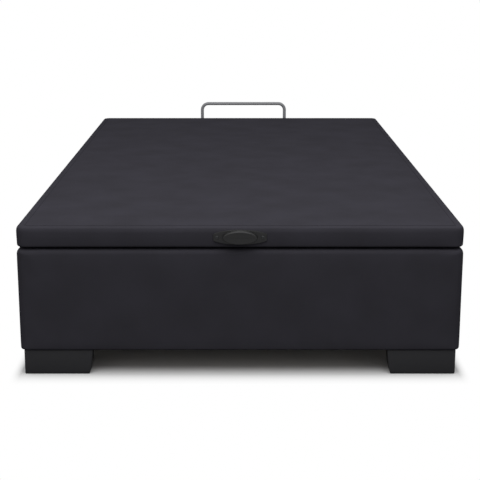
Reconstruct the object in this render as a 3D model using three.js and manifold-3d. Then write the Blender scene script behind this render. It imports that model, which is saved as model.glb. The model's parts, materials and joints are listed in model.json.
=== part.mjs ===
// Lift-up upholstered storage bed base. A padded box stands on four corner feet, and an upholstered
// lid closes it. The lid is hinged along the head end, held up by two gas struts, and opened by a
// pull cup at the foot end. A steel bar behind the lid stops the mattress from sliding.
// Millimetres, +Z up, foot end towards -Y, head end towards +Y, floor at z = 0.
import * as THREE from "three";
import { mergeVertices } from "three/addons/utils/BufferGeometryUtils.js";
import Module from "manifold-3d";

const wasm = await Module();
wasm.setup();

// Whole bed
const BED_WIDTH = 1050;
const BED_LENGTH = 1900;
const WALL_HEIGHT = 248;
const CORNER_RADIUS = 20;

// Fits and cutters
const FIT = 0.3; // gap between pieces that touch
const SWING_GAP = 0.7; // gap round a piece that turns
const OVERRUN = 2; // how far a cutter passes the face that it cuts
const ARC_STEPS = 5;
const ROUND_SIDES = 12;
const SMALL_SIDES = 8;
const MERGE_DISTANCE = 1e-3;

// Box walls: chipboard, each board wrapped in padded fabric that is folded onto its inner face
const BOARD = 16;
const SIDE_PADDING = 9;
const EDGE_PADDING = 4;
const FABRIC = 1.5;
const FOLD = 22;
const WALL_TOP_RADIUS = 9;
const WALL_BOTTOM_RADIUS = 6;
const WALL_INNER_RADIUS = 1.2;

// Corner feet: two wings joined by a gusset that takes the screws
const FOOT_HEIGHT = 60;
const FOOT_SIDE_INSET = 9.7;
const FOOT_END_INSET = 4;
const FOOT_WING = 163.2;
const FOOT_UNDERCUT = 8.3; // how far a wing's tip draws in towards the floor
const FOOT_THICKNESS = 40;
const FOOT_CORNER_RADIUS = 4;
const FOOT_CURVE_DOWN = 2; // from the foot's top to the start of the tip's curve
const FOOT_CURVE_IN = 3.2; // the curve's control point, in from the tip
const FOOT_CURVE_UP = 23; // and up from the floor
const GUSSET = 6;
const GUSSET_REACH = 85;
const FOOT_SCREW_IN = 8; // from the inner face of the nearer wing
const FOOT_SCREW_ALONG = 42; // from the inner face of the other wing

// Floor of the box: battens along the walls, a rail across the middle and two thin panels
const CLEAT_WIDTH = 40;
const CLEAT_HEIGHT = 20;
const FLOOR_RAIL_WIDTH = 60;
const FLOOR_PANEL = 6;

// Angle plates in the corners of the box
const ANGLE_SHEET = 2;
const ANGLE_WING = 45;
const ANGLE_HEIGHT = 120;
const ANGLE_SCREW_OUT = 32;
const ANGLE_SCREW_PITCH = 80;

// Lid: timber frame, hardboard deck, foam, top cover and a band round the edge
const LID_RAIL_WIDTH = 40;
const LID_RAIL_HEIGHT = 30;
const LID_CROSS_RAILS = 3;
const DECK = 6;
const PAD = 8.3;
const TOP_COVER = 3;
const BAND = 8;
const BAND_FOLD = 34;
const BAND_TOP_RADIUS = 10;
const BAND_BOTTOM_RADIUS = 7.4;
const BAND_INNER_RADIUS = 0.5;

// Butt hinges along the head end
const HINGE_FROM_SIDE = 145; // from the side face to the middle of an outer hinge
const HINGE_LENGTH = 80;
const HINGE_KNUCKLES = 5;
const HINGE_OUT = 1; // pin behind the head end face
const KNUCKLE_RADIUS = 4;
const HINGE_PIN_RADIUS = 2;
const PIN_PLAY = 0.35;
const PIN_HEAD = 1;
const PIN_HEAD_RADIUS = 3;
const LEAF_SHEET = 1.4;
const LEAF_BEYOND_SCREW = 7.7; // from the line of screws to the leaf's edge
const LEAF_PLAY = 0.6; // between the two closed leaves
const TAB_END = 3;
const WALL_LEAF_SCREW_IN = 18; // from the leaf's end
const LID_LEAF_SCREW_IN = 10;

// Gas struts: both ends are the same distance from the hinge pin, so a strut always turns half as
// far as the lid
const STRUT_FOOT_FROM_PIN = 145.5; // from the hinge pin to the wall bracket's pin, along the bed
const STRUT_LID_DROP = 25;
const STRUT_PLAY = 2.9; // between a strut's tube and the lid bracket
const TUBE_RADIUS = 9;
const TUBE_WALL = 2;
const TUBE_START = 11;
const TUBE_FLOOR = 4;
const ROD_SHOWN = 23; // from the tube to the middle of the rod's eye, with the lid shut
const GLAND = 8;
const ROD_RADIUS = 4;
const ROD_PLAY = 0.5;
const PISTON = 10;
const PISTON_PLAY = 0.6;
const PISTON_UP = 2; // above the tube's floor, with the lid shut
const EYE_RADIUS = 9;
const EYE_WIDTH = 10;
const EYE_PIN_RADIUS = 4;
const EYE_PIN_PLAY = 0.5;
const COLLAR_RADIUS = 6;
const CLIP = 2;
const PLATE = 3;
const WALL_PLATE_LENGTH = 54;
const WALL_PLATE_HEIGHT = 36;
const WALL_PLATE_ABOVE_FLOOR = 2.4;
const WALL_PLATE_SCREW_IN = 8; // from the plate's end
const LID_PLATE_LENGTH = 60;
const LID_PLATE_FOOT_LENGTH = 28;
const LID_PLATE_BELOW = 12;
const LID_PLATE_RADIUS = 10;
const LID_PLATE_FLANGE = 20;
const LID_PLATE_SCREW_IN = 10; // from the plate's end
const LID_PLATE_SCREW_EDGE = 9.1; // from the flange's free edge

// Pull cup
const HANDLE_LENGTH = 125;
const HANDLE_HEIGHT = 35;
const HANDLE_END_CUT = 8; // cut off the oval at each end
const HANDLE_BELOW_TOP = 24;
const HANDLE_PLATE = 3;
const CUP_FROM_END = 21.5; // from the plate's end to the cup
const CUP_FROM_EDGE = 1; // from the plate's top and bottom
const CUP_DEPTH = 14;
const CUP_WALL = 2.2;
const CUP_MOUTH_IN = 9.5; // from the cup's end to its open mouth
const CUP_SIDES = 24;
const CUP_ROUND_SHARES = [
  [1, 0],
  [0.98, 0.84],
  [0.94, 1],
];
const HANDLE_SCREW_IN = 9; // from the plate's end
const HANDLE_STEPS = 12;

// Mattress bar and its two straps
const BAR_RADIUS = 6;
const BAR_WIDTH = 329;
const BAR_RISE = 59;
const BAR_BEND = 24;
const BAR_OFF_CENTRE = 13;
const BAR_END_UP = 6; // above the lid's lower face
const STRAP_SHEET = 2;
const STRAP_HALF = 20;
const STRAP_HEIGHT = 24;
const STRAP_UP = 9;
const STRAP_SCREW = 14;

// Rubber buffers that the lid closes onto
const BUFFER_RADIUS = 6;
const BUFFER_IN = 15;
const BUFFER_FROM_FOOT_END = 120;

// Screws, and the holes for them
const SCREW_RADIUS = 2;
const SCREW_HEAD_RADIUS = 4;
const SCREW_HEAD = 2.4;
const SCREW_HEAD_SHARES = [0.72, 0.45]; // flat of the crown, and height of its edge
const HANDLE_SCREW_LENGTH = 24;
const SUNK_HEAD_RADIUS = 3.4;
const SUNK_HEAD = 1.1;

// Levels, from the floor up
const WALL_BOTTOM = FOOT_HEIGHT;
const WALL_TOP = WALL_BOTTOM + WALL_HEIGHT;
const LID_GAP = 2 * (FIT + LEAF_SHEET) + LEAF_PLAY;
const LID_BOTTOM = WALL_TOP + LID_GAP;
const RAIL_BOTTOM = LID_BOTTOM + FABRIC + FIT;
const RAIL_TOP = RAIL_BOTTOM + LID_RAIL_HEIGHT;
const DECK_BOTTOM = RAIL_TOP + FIT;
const PAD_BOTTOM = DECK_BOTTOM + DECK + FIT;
const TOP_COVER_BOTTOM = PAD_BOTTOM + PAD + FIT;
const LID_TOP = TOP_COVER_BOTTOM + TOP_COVER;
const CLEAT_TOP = WALL_BOTTOM + CLEAT_HEIGHT;
const FLOOR_TOP = CLEAT_TOP + FIT + FLOOR_PANEL;

// Plan: the cup stands further out than the bar, so the bed is shifted to centre the whole
const WALL = SIDE_PADDING + FIT + BOARD + FIT + FABRIC;
const STRAP_OUTER_RADIUS = BAR_RADIUS + FIT + STRAP_SHEET;
const CUP_REACH = FIT + CUP_DEPTH;
const BAR_REACH = FIT + BAR_RADIUS + STRAP_OUTER_RADIUS;
const CENTRE_Y = (CUP_REACH - BAR_REACH) / 2;
const FRONT = CENTRE_Y - BED_LENGTH / 2;
const BACK = CENTRE_Y + BED_LENGTH / 2;
const HALF_WIDTH = BED_WIDTH / 2;
const INSIDE_X = HALF_WIDTH - WALL - FIT;
const INSIDE_FRONT = FRONT + WALL + FIT;
const INSIDE_BACK = BACK - WALL - FIT;
const BOARD_OUT = SIDE_PADDING + FIT;
const BOARD_IN = BOARD_OUT + BOARD;
const BOARD_BOTTOM = WALL_BOTTOM + FABRIC + FIT;
const BOARD_TOP = WALL_TOP - EDGE_PADDING - FIT;
const FRAME_IN = BAND + FIT;
const PIN_Y = BACK + HINGE_OUT;
const PIN_Z = WALL_TOP + LID_GAP / 2;

// Materials
function material(color, roughness, metalness = 0) {
  return new THREE.MeshStandardMaterial({ color, roughness, metalness });
}
const fabric = () => material("#2c2b31", 0.95);
const foam = () => material("#c9c2ad", 1);
const chipboard = () => material("#9e8a70", 0.7);
const pine = () => material("#c8a877", 0.75);
const hardboard = () => material("#8a6f52", 0.8);
const blackPlastic = () => material("#202022", 0.5);
const chromedSteel = () => material("#d4d6d8", 0.15, 1);
const coatedSteel = () => material("#7c7d80", 0.5);
const zincSteel = () => material("#aeb2b6", 0.35, 1);
const blackSteel = () => material("#1d1e20", 0.45, 0.6);
const rubber = () => material("#161616", 0.9);

// Solids from three.js geometry, joined and cut as closed bodies
function solid(geometry) {
  const bare = new THREE.BufferGeometry();
  const loose = geometry.index ? geometry.toNonIndexed() : geometry;
  bare.setAttribute("position", loose.getAttribute("position"));
  const merged = mergeVertices(bare, MERGE_DISTANCE);
  return new wasm.Manifold(
    new wasm.Mesh({
      numProp: 3,
      vertProperties: merged.attributes.position.array,
      triVerts: new Uint32Array(merged.index.array),
    }),
  );
}

function join(bodies) {
  return bodies.reduce((whole, body) => whole.add(body));
}

function cut(body, cutters) {
  return cutters.reduce((rest, cutter) => rest.subtract(cutter), body);
}

const bed = new THREE.Group();

function add(name, body, finish) {
  const { vertProperties, triVerts } = body.getMesh();
  const geometry = new THREE.BufferGeometry();
  geometry.setAttribute("position", new THREE.BufferAttribute(vertProperties, 3));
  geometry.setIndex(new THREE.BufferAttribute(triVerts, 1));
  geometry.computeVertexNormals();
  const mesh = new THREE.Mesh(geometry, finish);
  mesh.name = name;
  bed.add(mesh);
}

// A rectangular piece between two places on each axis, which may be given in either order
function block([x0, x1], [y0, y1], [z0, z1]) {
  const geometry = new THREE.BoxGeometry(Math.abs(x1 - x0), Math.abs(y1 - y0), Math.abs(z1 - z0));
  return solid(geometry.translate((x0 + x1) / 2, (y0 + y1) / 2, (z0 + z1) / 2));
}

// How an outline's two directions and its depth lie in the bed, for a prism along each axis
const PRISM_BASES = {
  x: [new THREE.Vector3(0, 1, 0), new THREE.Vector3(0, 0, 1), new THREE.Vector3(1, 0, 0)],
  y: [new THREE.Vector3(1, 0, 0), new THREE.Vector3(0, 0, 1), new THREE.Vector3(0, -1, 0)],
  z: [new THREE.Vector3(1, 0, 0), new THREE.Vector3(0, 1, 0), new THREE.Vector3(0, 0, 1)],
};

// An outline, in the two other axes in alphabetical order, drawn out along one axis
function prism(outline, axis, [a, b]) {
  const low = Math.min(a, b);
  const high = Math.max(a, b);
  const options = { depth: high - low, bevelEnabled: false };
  const geometry = new THREE.ExtrudeGeometry(new THREE.Shape(outline), options);
  const [across, up, along] = PRISM_BASES[axis];
  geometry.applyMatrix4(new THREE.Matrix4().makeBasis(across, up, along));
  geometry.translate(...along.clone().multiplyScalar(axis === "y" ? -high : low).toArray());
  return solid(geometry);
}

function circle([u, v], radius, sides = ROUND_SIDES) {
  return Array.from({ length: sides }, (_, i) => {
    const angle = (2 * Math.PI * i) / sides;
    return new THREE.Vector2(u + radius * Math.cos(angle), v + radius * Math.sin(angle));
  });
}

function arc([u, v], radius, from, to, steps = ARC_STEPS) {
  return Array.from({ length: steps + 1 }, (_, i) => {
    const angle = from + ((to - from) * i) / steps;
    return new THREE.Vector2(u + radius * Math.cos(angle), v + radius * Math.sin(angle));
  });
}

// An outline through corners [u, v, radius], each rounded by an arc where it has a radius
function rounded(corners) {
  const places = corners.map(([u, v]) => new THREE.Vector2(u, v));
  return corners.flatMap(([, , radius], i) => {
    const here = places[i];
    if (!radius) return [here];
    const before = places.at(i - 1).clone().sub(here).normalize();
    const after = places[(i + 1) % places.length].clone().sub(here).normalize();
    const half = Math.acos(before.dot(after)) / 2;
    const centre = before.clone().add(after).setLength(radius / Math.sin(half)).add(here);
    const start = before.multiplyScalar(radius / Math.tan(half)).add(here).sub(centre);
    const end = after.multiplyScalar(radius / Math.tan(half)).add(here).sub(centre);
    const turn = Math.atan2(start.cross(end), start.dot(end));
    return arc(centre.toArray(), radius, start.angle(), start.angle() + turn);
  });
}

// The bed's outline from above, drawn in from its faces
function bedOutline(inset, radius) {
  const x = HALF_WIDTH - inset;
  const front = FRONT + inset;
  const back = BACK - inset;
  return rounded([
    [-x, front, radius],
    [x, front, radius],
    [x, back, radius],
    [-x, back, radius],
  ]);
}

// A body turned about an axis from [radius, height] points that start and end on the axis. Height
// zero stands at a foot point, and height points along a direction
function turned(points, foot, direction, sides = SMALL_SIDES) {
  const profile = points.map(([radius, height]) => new THREE.Vector2(radius, height));
  const geometry = new THREE.LatheGeometry(profile, sides);
  const turn = new THREE.Quaternion().setFromUnitVectors(new THREE.Vector3(0, 1, 0), direction);
  geometry.applyQuaternion(turn).translate(...foot.toArray());
  return solid(geometry);
}

// Screws and their holes. Each is [place of its seat, direction that its head faces]
const DOWN = new THREE.Vector3(0, 0, -1);
const UP = new THREE.Vector3(0, 0, 1);
const TO_HEAD_END = new THREE.Vector3(0, 1, 0);
const TO_FOOT_END = new THREE.Vector3(0, -1, 0);
const TO_SIDE = (side) => new THREE.Vector3(side, 0, 0);

function panScrew([seat, direction], length) {
  const [crownShare, edgeShare] = SCREW_HEAD_SHARES;
  const foot = direction.clone().multiplyScalar(FIT).add(seat);
  return turned(
    [
      [0, -length],
      [SCREW_RADIUS, -length],
      [SCREW_RADIUS, 0],
      [SCREW_HEAD_RADIUS, 0],
      [SCREW_HEAD_RADIUS, SCREW_HEAD * edgeShare],
      [SCREW_HEAD_RADIUS * crownShare, SCREW_HEAD],
      [0, SCREW_HEAD],
    ],
    foot,
    direction,
  );
}

function screwHole([seat, direction], depth) {
  const radius = SCREW_RADIUS + FIT;
  return turned(
    [
      [0, -depth],
      [radius, -depth],
      [radius, OVERRUN],
      [0, OVERRUN],
    ],
    seat,
    direction,
  );
}

function sunkHole([seat, direction], depth) {
  const radius = SCREW_RADIUS + FIT;
  return turned(
    [
      [0, -depth],
      [radius, -depth],
      [radius, -SUNK_HEAD],
      [SUNK_HEAD_RADIUS, 0],
      [SUNK_HEAD_RADIUS, OVERRUN],
      [0, OVERRUN],
    ],
    seat,
    direction,
  );
}

const place = (x, y, z) => new THREE.Vector3(x, y, z);
const SIDES = { left: -1, right: 1 };
const ENDS = { front: -1, rear: 1 };
const faceOf = (end) => (end < 0 ? FRONT : BACK);
const insideOf = (end) => (end < 0 ? INSIDE_FRONT : INSIDE_BACK);

// Places of the screws, worked out from what they fasten
const wallMiddle = (WALL_BOTTOM + WALL_TOP) / 2;
const angleScrews = (side, end) =>
  [-1, 1].flatMap((step) => {
    const z = wallMiddle + (step * ANGLE_SCREW_PITCH) / 2;
    const x = side * INSIDE_X;
    const y = insideOf(end);
    return [
      [place(x - side * ANGLE_SHEET, y - end * ANGLE_SCREW_OUT, z), TO_SIDE(-side)],
      [place(x - side * ANGLE_SCREW_OUT, y - end * ANGLE_SHEET, z), place(0, -end, 0)],
    ];
  });
const hingeScrewY = BACK - BOARD_OUT - BOARD / 2;
const wallLeafTop = WALL_TOP + FIT + LEAF_SHEET;
const lidLeafBottom = LID_BOTTOM - FIT - LEAF_SHEET;
const leafScrews = (x, fromEnd, z, direction) =>
  [-1, 1].map((step) => [
    place(x + step * (HINGE_LENGTH / 2 - fromEnd), hingeScrewY, z),
    direction,
  ]);

// Gas strut geometry in the side view. The wall eye's place gives the strut's arm about the hinge
// pin, the lid eye stands at the same arm, and the length is between them with the lid shut
const wallEyeZ = FLOOR_TOP + WALL_PLATE_ABOVE_FLOOR + WALL_PLATE_HEIGHT / 2;
const wallEyeY = PIN_Y - STRUT_FOOT_FROM_PIN;
const strutArm = Math.hypot(STRUT_FOOT_FROM_PIN, PIN_Z - wallEyeZ);
const lidEyeZ = PIN_Z - STRUT_LID_DROP;
const lidEyeY = PIN_Y - Math.sqrt(strutArm ** 2 - STRUT_LID_DROP ** 2);
const strutClosed = Math.hypot(lidEyeY - wallEyeY, lidEyeZ - wallEyeZ);
const boardInnerX = HALF_WIDTH - BOARD_IN;
const wallPlateX = boardInnerX - FIT - PLATE;
const lidPlateX = INSIDE_X - SWING_GAP - PLATE;
const strutX = lidPlateX - STRUT_PLAY - TUBE_RADIUS;
const flangeEdgeX = lidPlateX + PLATE - LID_PLATE_FLANGE;
const lidPlateTop = LID_BOTTOM - FIT;
const wallPlateScrews = (side) =>
  [-1, 1].map((step) => [
    place(
      side * wallPlateX,
      wallEyeY + step * (WALL_PLATE_LENGTH / 2 - WALL_PLATE_SCREW_IN),
      wallEyeZ,
    ),
    TO_SIDE(-side),
  ]);
const lidPlateScrews = (side) =>
  [-1, 1].map((step) => [
    place(
      side * (flangeEdgeX + LID_PLATE_SCREW_EDGE),
      lidEyeY + step * (LID_PLATE_LENGTH / 2 - LID_PLATE_SCREW_IN),
      lidPlateTop - PLATE,
    ),
    DOWN,
  ]);

const footCorner = (side, end) => [
  side * (HALF_WIDTH - FOOT_SIDE_INSET),
  faceOf(end) - end * FOOT_END_INSET,
];
const footTop = FOOT_HEIGHT - FIT;
const footScrews = (side, end) => {
  const [x, y] = footCorner(side, end);
  const z = footTop - GUSSET;
  const near = FOOT_THICKNESS + FOOT_SCREW_IN;
  const far = FOOT_THICKNESS + FOOT_SCREW_ALONG;
  return [
    [place(x - side * near, y - end * far, z), DOWN],
    [place(x - side * far, y - end * near, z), DOWN],
  ];
};

const strapBottom = LID_BOTTOM + STRAP_UP;
const barHalf = BAR_WIDTH / 2 - BAR_RADIUS;
const strapX = (side) => BAR_OFF_CENTRE + side * barHalf;
const strapScrews = (side) =>
  [-1, 1].map((step) => [
    place(
      strapX(side) + step * STRAP_SCREW,
      BACK + FIT + STRAP_SHEET,
      strapBottom + STRAP_HEIGHT / 2,
    ),
    TO_HEAD_END,
  ]);
const handleZ = LID_TOP - HANDLE_BELOW_TOP;
const handleFront = FRONT - FIT - HANDLE_PLATE;
const handleScrews = [-1, 1].map((step) => [
  place(step * (HANDLE_LENGTH / 2 - HANDLE_SCREW_IN), handleFront, handleZ),
  TO_FOOT_END,
]);

// End walls run the full width, and the side walls stand between them
const sideWallEnds = [INSIDE_FRONT, INSIDE_BACK];
const sideBoardEnds = [INSIDE_FRONT + FABRIC + FIT, INSIDE_BACK - FABRIC - FIT];
const endBoardHalf = HALF_WIDTH - BOARD_OUT;

function wallSection(toPlace) {
  return rounded([
    [toPlace(0), WALL_BOTTOM, WALL_BOTTOM_RADIUS],
    [toPlace(WALL), WALL_BOTTOM, WALL_INNER_RADIUS],
    [toPlace(WALL), WALL_TOP, WALL_INNER_RADIUS],
    [toPlace(0), WALL_TOP, WALL_TOP_RADIUS],
  ]);
}

function endWall(name, end) {
  const depthAt = (distance) => faceOf(end) - end * distance;
  const boardY = [depthAt(BOARD_OUT), depthAt(BOARD_IN)];
  const hollowY = [depthAt(SIDE_PADDING), depthAt(BOARD_IN + FIT)];
  const hollowX = endBoardHalf + FIT;
  const plan = rounded([
    [-HALF_WIDTH, depthAt(0), CORNER_RADIUS],
    [HALF_WIDTH, depthAt(0), CORNER_RADIUS],
    [HALF_WIDTH, depthAt(WALL), WALL_INNER_RADIUS],
    [-HALF_WIDTH, depthAt(WALL), WALL_INNER_RADIUS],
  ]);
  const wrap = prism(wallSection(depthAt), "x", [-HALF_WIDTH, HALF_WIDTH]).intersect(
    prism(plan, "z", [WALL_BOTTOM, WALL_TOP]),
  );
  const windowX = INSIDE_X - FOLD;
  const hollow = block([-hollowX, hollowX], hollowY, [BOARD_BOTTOM - FIT, BOARD_TOP + FIT]);
  const windowCut = block(
    [-windowX, windowX],
    [depthAt(BOARD_IN), depthAt(WALL + OVERRUN)],
    [WALL_BOTTOM + FOLD, WALL_TOP - FOLD],
  );
  const board = block([-endBoardHalf, endBoardHalf], boardY, [BOARD_BOTTOM, BOARD_TOP]);
  add(`${name}_cover`, cut(wrap, [hollow, windowCut]), fabric());
  add(`${name}_board`, board, chipboard());
}

function sideWall(name, side) {
  const depthAt = (distance) => side * (HALF_WIDTH - distance);
  const boardX = [depthAt(BOARD_OUT), depthAt(BOARD_IN)];
  const [boardFront, boardBack] = sideBoardEnds;
  const hollow = block(
    [depthAt(SIDE_PADDING), depthAt(BOARD_IN + FIT)],
    [boardFront - FIT, boardBack + FIT],
    [BOARD_BOTTOM - FIT, BOARD_TOP + FIT],
  );
  const windowCut = block(
    [depthAt(BOARD_IN), depthAt(WALL + OVERRUN)],
    [INSIDE_FRONT + FOLD, INSIDE_BACK - FOLD],
    [WALL_BOTTOM + FOLD, WALL_TOP - FOLD],
  );
  const wrap = prism(wallSection(depthAt), "y", sideWallEnds);
  add(`${name}_cover`, cut(wrap, [hollow, windowCut]), fabric());
  add(`${name}_board`, block(boardX, sideBoardEnds, [BOARD_BOTTOM, BOARD_TOP]), chipboard());
}

endWall("foot_end", -1);
endWall("head_end", 1);
sideWall("left_side", -1);
sideWall("right_side", 1);

// Battens round the floor of the box, the rail across its middle and the two floor panels
const cleatZ = [WALL_BOTTOM, CLEAT_TOP];
const cleatInner = INSIDE_X - CLEAT_WIDTH;
for (const [name, side] of Object.entries(SIDES)) {
  const cleat = block([side * INSIDE_X, side * cleatInner], sideWallEnds, cleatZ);
  add(`floor_cleat_${name}`, cleat, pine());
}
const crossHalf = cleatInner - FIT;
for (const [name, end] of Object.entries(ENDS)) {
  const y = [insideOf(end), insideOf(end) - end * CLEAT_WIDTH];
  add(`floor_cleat_${name}`, block([-crossHalf, crossHalf], y, cleatZ), pine());
}
const floorMiddle = (INSIDE_FRONT + INSIDE_BACK) / 2;
const floorRailY = [floorMiddle - FLOOR_RAIL_WIDTH / 2, floorMiddle + FLOOR_RAIL_WIDTH / 2];
add("floor_cross_rail", block([-crossHalf, crossHalf], floorRailY, cleatZ), pine());

for (const [name, end] of Object.entries(ENDS)) {
  const y = [insideOf(end), floorMiddle + (end * FIT) / 2];
  const panel = block([-INSIDE_X, INSIDE_X], y, [CLEAT_TOP + FIT, FLOOR_TOP]);
  add(`floor_panel_${name}`, panel, hardboard());
}

// Angle plates screwed into the corners of the box
const angleZ = [wallMiddle - ANGLE_HEIGHT / 2, wallMiddle + ANGLE_HEIGHT / 2];
for (const [sideName, side] of Object.entries(SIDES)) {
  for (const [endName, end] of Object.entries(ENDS)) {
    const x = side * INSIDE_X;
    const y = insideOf(end);
    const outline = [
      [0, 0],
      [ANGLE_WING, 0],
      [ANGLE_WING, ANGLE_SHEET],
      [ANGLE_SHEET, ANGLE_SHEET],
      [ANGLE_SHEET, ANGLE_WING],
      [0, ANGLE_WING],
    ].map(([u, v]) => new THREE.Vector2(x - side * u, y - end * v));
    const holes = angleScrews(side, end).map((screw) => screwHole(screw, ANGLE_SHEET + OVERRUN));
    add(`corner_plate_${endName}_${sideName}`, cut(prism(outline, "z", angleZ), holes), zincSteel());
  }
}

// Feet: a wing along the end and one along the side, each curved in towards the floor at its tip,
// with a gusset between them under the battens
function footWing(toPlace, side) {
  const curve = new THREE.QuadraticBezierCurve(
    new THREE.Vector2(FOOT_WING, footTop - FOOT_CURVE_DOWN),
    new THREE.Vector2(FOOT_WING - FOOT_CURVE_IN, FOOT_CURVE_UP),
    new THREE.Vector2(FOOT_WING - FOOT_UNDERCUT, 0),
  );
  const outline = [new THREE.Vector2(0, 0), new THREE.Vector2(0, footTop)];
  outline.push(new THREE.Vector2(FOOT_WING, footTop), ...curve.getPoints(ARC_STEPS));
  return outline.map((point) => new THREE.Vector2(toPlace - side * point.x, point.y));
}

for (const [sideName, side] of Object.entries(SIDES)) {
  for (const [endName, end] of Object.entries(ENDS)) {
    const [x, y] = footCorner(side, end);
    const toPlan = ([u, v, radius]) => [x - side * u, y - end * v, radius];
    const endWing = prism(footWing(x, side), "y", [y, y - end * FOOT_THICKNESS]);
    const sideWing = prism(footWing(y, end), "x", [x, x - side * FOOT_THICKNESS]);
    const gusset = prism(
      rounded(
        [
          [0, 0, 0],
          [FOOT_THICKNESS + GUSSET_REACH, 0, 0],
          [FOOT_THICKNESS + GUSSET_REACH, FOOT_THICKNESS, 0],
          [FOOT_THICKNESS, FOOT_THICKNESS + GUSSET_REACH, 0],
          [0, FOOT_THICKNESS + GUSSET_REACH, 0],
        ].map(toPlan),
      ),
      "z",
      [footTop - GUSSET, footTop],
    );
    const outside = prism(
      rounded(
        [
          [0, 0, FOOT_CORNER_RADIUS],
          [FOOT_WING + OVERRUN, 0, 0],
          [FOOT_WING + OVERRUN, FOOT_WING + OVERRUN, 0],
          [0, FOOT_WING + OVERRUN, 0],
        ].map(toPlan),
      ),
      "z",
      [-OVERRUN, footTop + OVERRUN],
    );
    const foot = join([endWing, sideWing, gusset]).intersect(outside);
    const holes = footScrews(side, end).map((screw) => screwHole(screw, GUSSET + OVERRUN));
    add(`foot_${endName}_${sideName}`, cut(foot, holes), blackPlastic());
  }
}

// Lid frame: side rails run through, end rails and cross rails fit between them
const lidEdgeX = HALF_WIDTH - FRAME_IN;
const lidEdgeFront = FRONT + FRAME_IN;
const lidEdgeBack = BACK - FRAME_IN;
const railZ = [RAIL_BOTTOM, RAIL_TOP];
const lidInnerX = lidEdgeX - LID_RAIL_WIDTH - FIT;
const handleHoles = handleScrews.map((screw) => screwHole(screw, HANDLE_SCREW_LENGTH + FIT));

for (const [name, side] of Object.entries(SIDES)) {
  const x = [side * lidEdgeX, side * (lidEdgeX - LID_RAIL_WIDTH)];
  add(`lid_rail_${name}`, block(x, [lidEdgeFront, lidEdgeBack], railZ), pine());
}
const crossX = [-lidInnerX, lidInnerX];
const frontRail = block(crossX, [lidEdgeFront, lidEdgeFront + LID_RAIL_WIDTH], railZ);
add("lid_rail_front", cut(frontRail, handleHoles), pine());
const rearRail = block(crossX, [lidEdgeBack - LID_RAIL_WIDTH, lidEdgeBack], railZ);
add("lid_rail_rear", rearRail, pine());
for (let i = 1; i <= LID_CROSS_RAILS; i++) {
  const y = lidEdgeFront + ((lidEdgeBack - lidEdgeFront) * i) / (LID_CROSS_RAILS + 1);
  const rail = block(crossX, [y - LID_RAIL_WIDTH / 2, y + LID_RAIL_WIDTH / 2], railZ);
  add(`lid_cross_rail_${i}`, rail, pine());
}

// Deck, foam and top cover lie on the frame, inside the band
const layerX = [-lidEdgeX, lidEdgeX];
const layerY = [lidEdgeFront, lidEdgeBack];
add("lid_deck", block(layerX, layerY, [DECK_BOTTOM, DECK_BOTTOM + DECK]), hardboard());
add("lid_pad", block(layerX, layerY, [PAD_BOTTOM, PAD_BOTTOM + PAD]), foam());
const topInset = BAND_TOP_RADIUS + FIT;
const topOutline = bedOutline(topInset, CORNER_RADIUS - topInset);
add("lid_top_cover", prism(topOutline, "z", [TOP_COVER_BOTTOM, LID_TOP]), fabric());

// Band round the lid: [drawn in from the bed's faces, height, corner radius] round its section, from
// the edge of the fold under the rails, over the outer face to the seam, and back down the inside
const bandOuter = rounded([
  [0, LID_BOTTOM, BAND_BOTTOM_RADIUS],
  [0, LID_TOP, BAND_TOP_RADIUS],
  [CORNER_RADIUS, LID_TOP, 0],
  [CORNER_RADIUS, LID_BOTTOM, 0],
])
  .slice(0, 2 * (ARC_STEPS + 1))
  .map(({ x, y }) => [x, y, CORNER_RADIUS - x]);
const bandSection = [
  [BAND + BAND_FOLD, LID_BOTTOM, BAND_INNER_RADIUS],
  ...bandOuter,
  [BAND_TOP_RADIUS, TOP_COVER_BOTTOM, CORNER_RADIUS - BAND_TOP_RADIUS],
  [BAND, TOP_COVER_BOTTOM, BAND_INNER_RADIUS],
  [BAND, LID_BOTTOM + FABRIC, BAND_INNER_RADIUS],
  [BAND + BAND_FOLD, LID_BOTTOM + FABRIC, BAND_INNER_RADIUS],
];

// A closed loop of rings, each the bed's outline drawn in and lifted as the section says
function edgeBand(section) {
  const rings = section.map(([inset, z, radius]) =>
    bedOutline(inset, radius).map(({ x, y }) => [x, y, z]),
  );
  const around = rings[0].length;
  const indices = rings.flatMap((_, i) => {
    const next = (i + 1) % rings.length;
    return rings[i].flatMap((__, j) => {
      const after = (j + 1) % around;
      const [a, b] = [i * around + j, i * around + after];
      const [c, d] = [next * around + after, next * around + j];
      return [a, b, c, a, c, d];
    });
  });
  const geometry = new THREE.BufferGeometry();
  const points = rings.flat(2);
  geometry.setAttribute("position", new THREE.Float32BufferAttribute(points, 3));
  geometry.setIndex(indices);
  return solid(geometry);
}

add("lid_band", cut(edgeBand(bandSection), handleHoles), fabric());

// Hinges: the knuckles stand in turn on the wall leaf and on the lid leaf, round one pin
const knuckleLength = HINGE_LENGTH / HINGE_KNUCKLES;
const pinBore = circle([PIN_Y, PIN_Z], HINGE_PIN_RADIUS + PIN_PLAY);
const knuckleOutline = circle([PIN_Y, PIN_Z], KNUCKLE_RADIUS);

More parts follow.
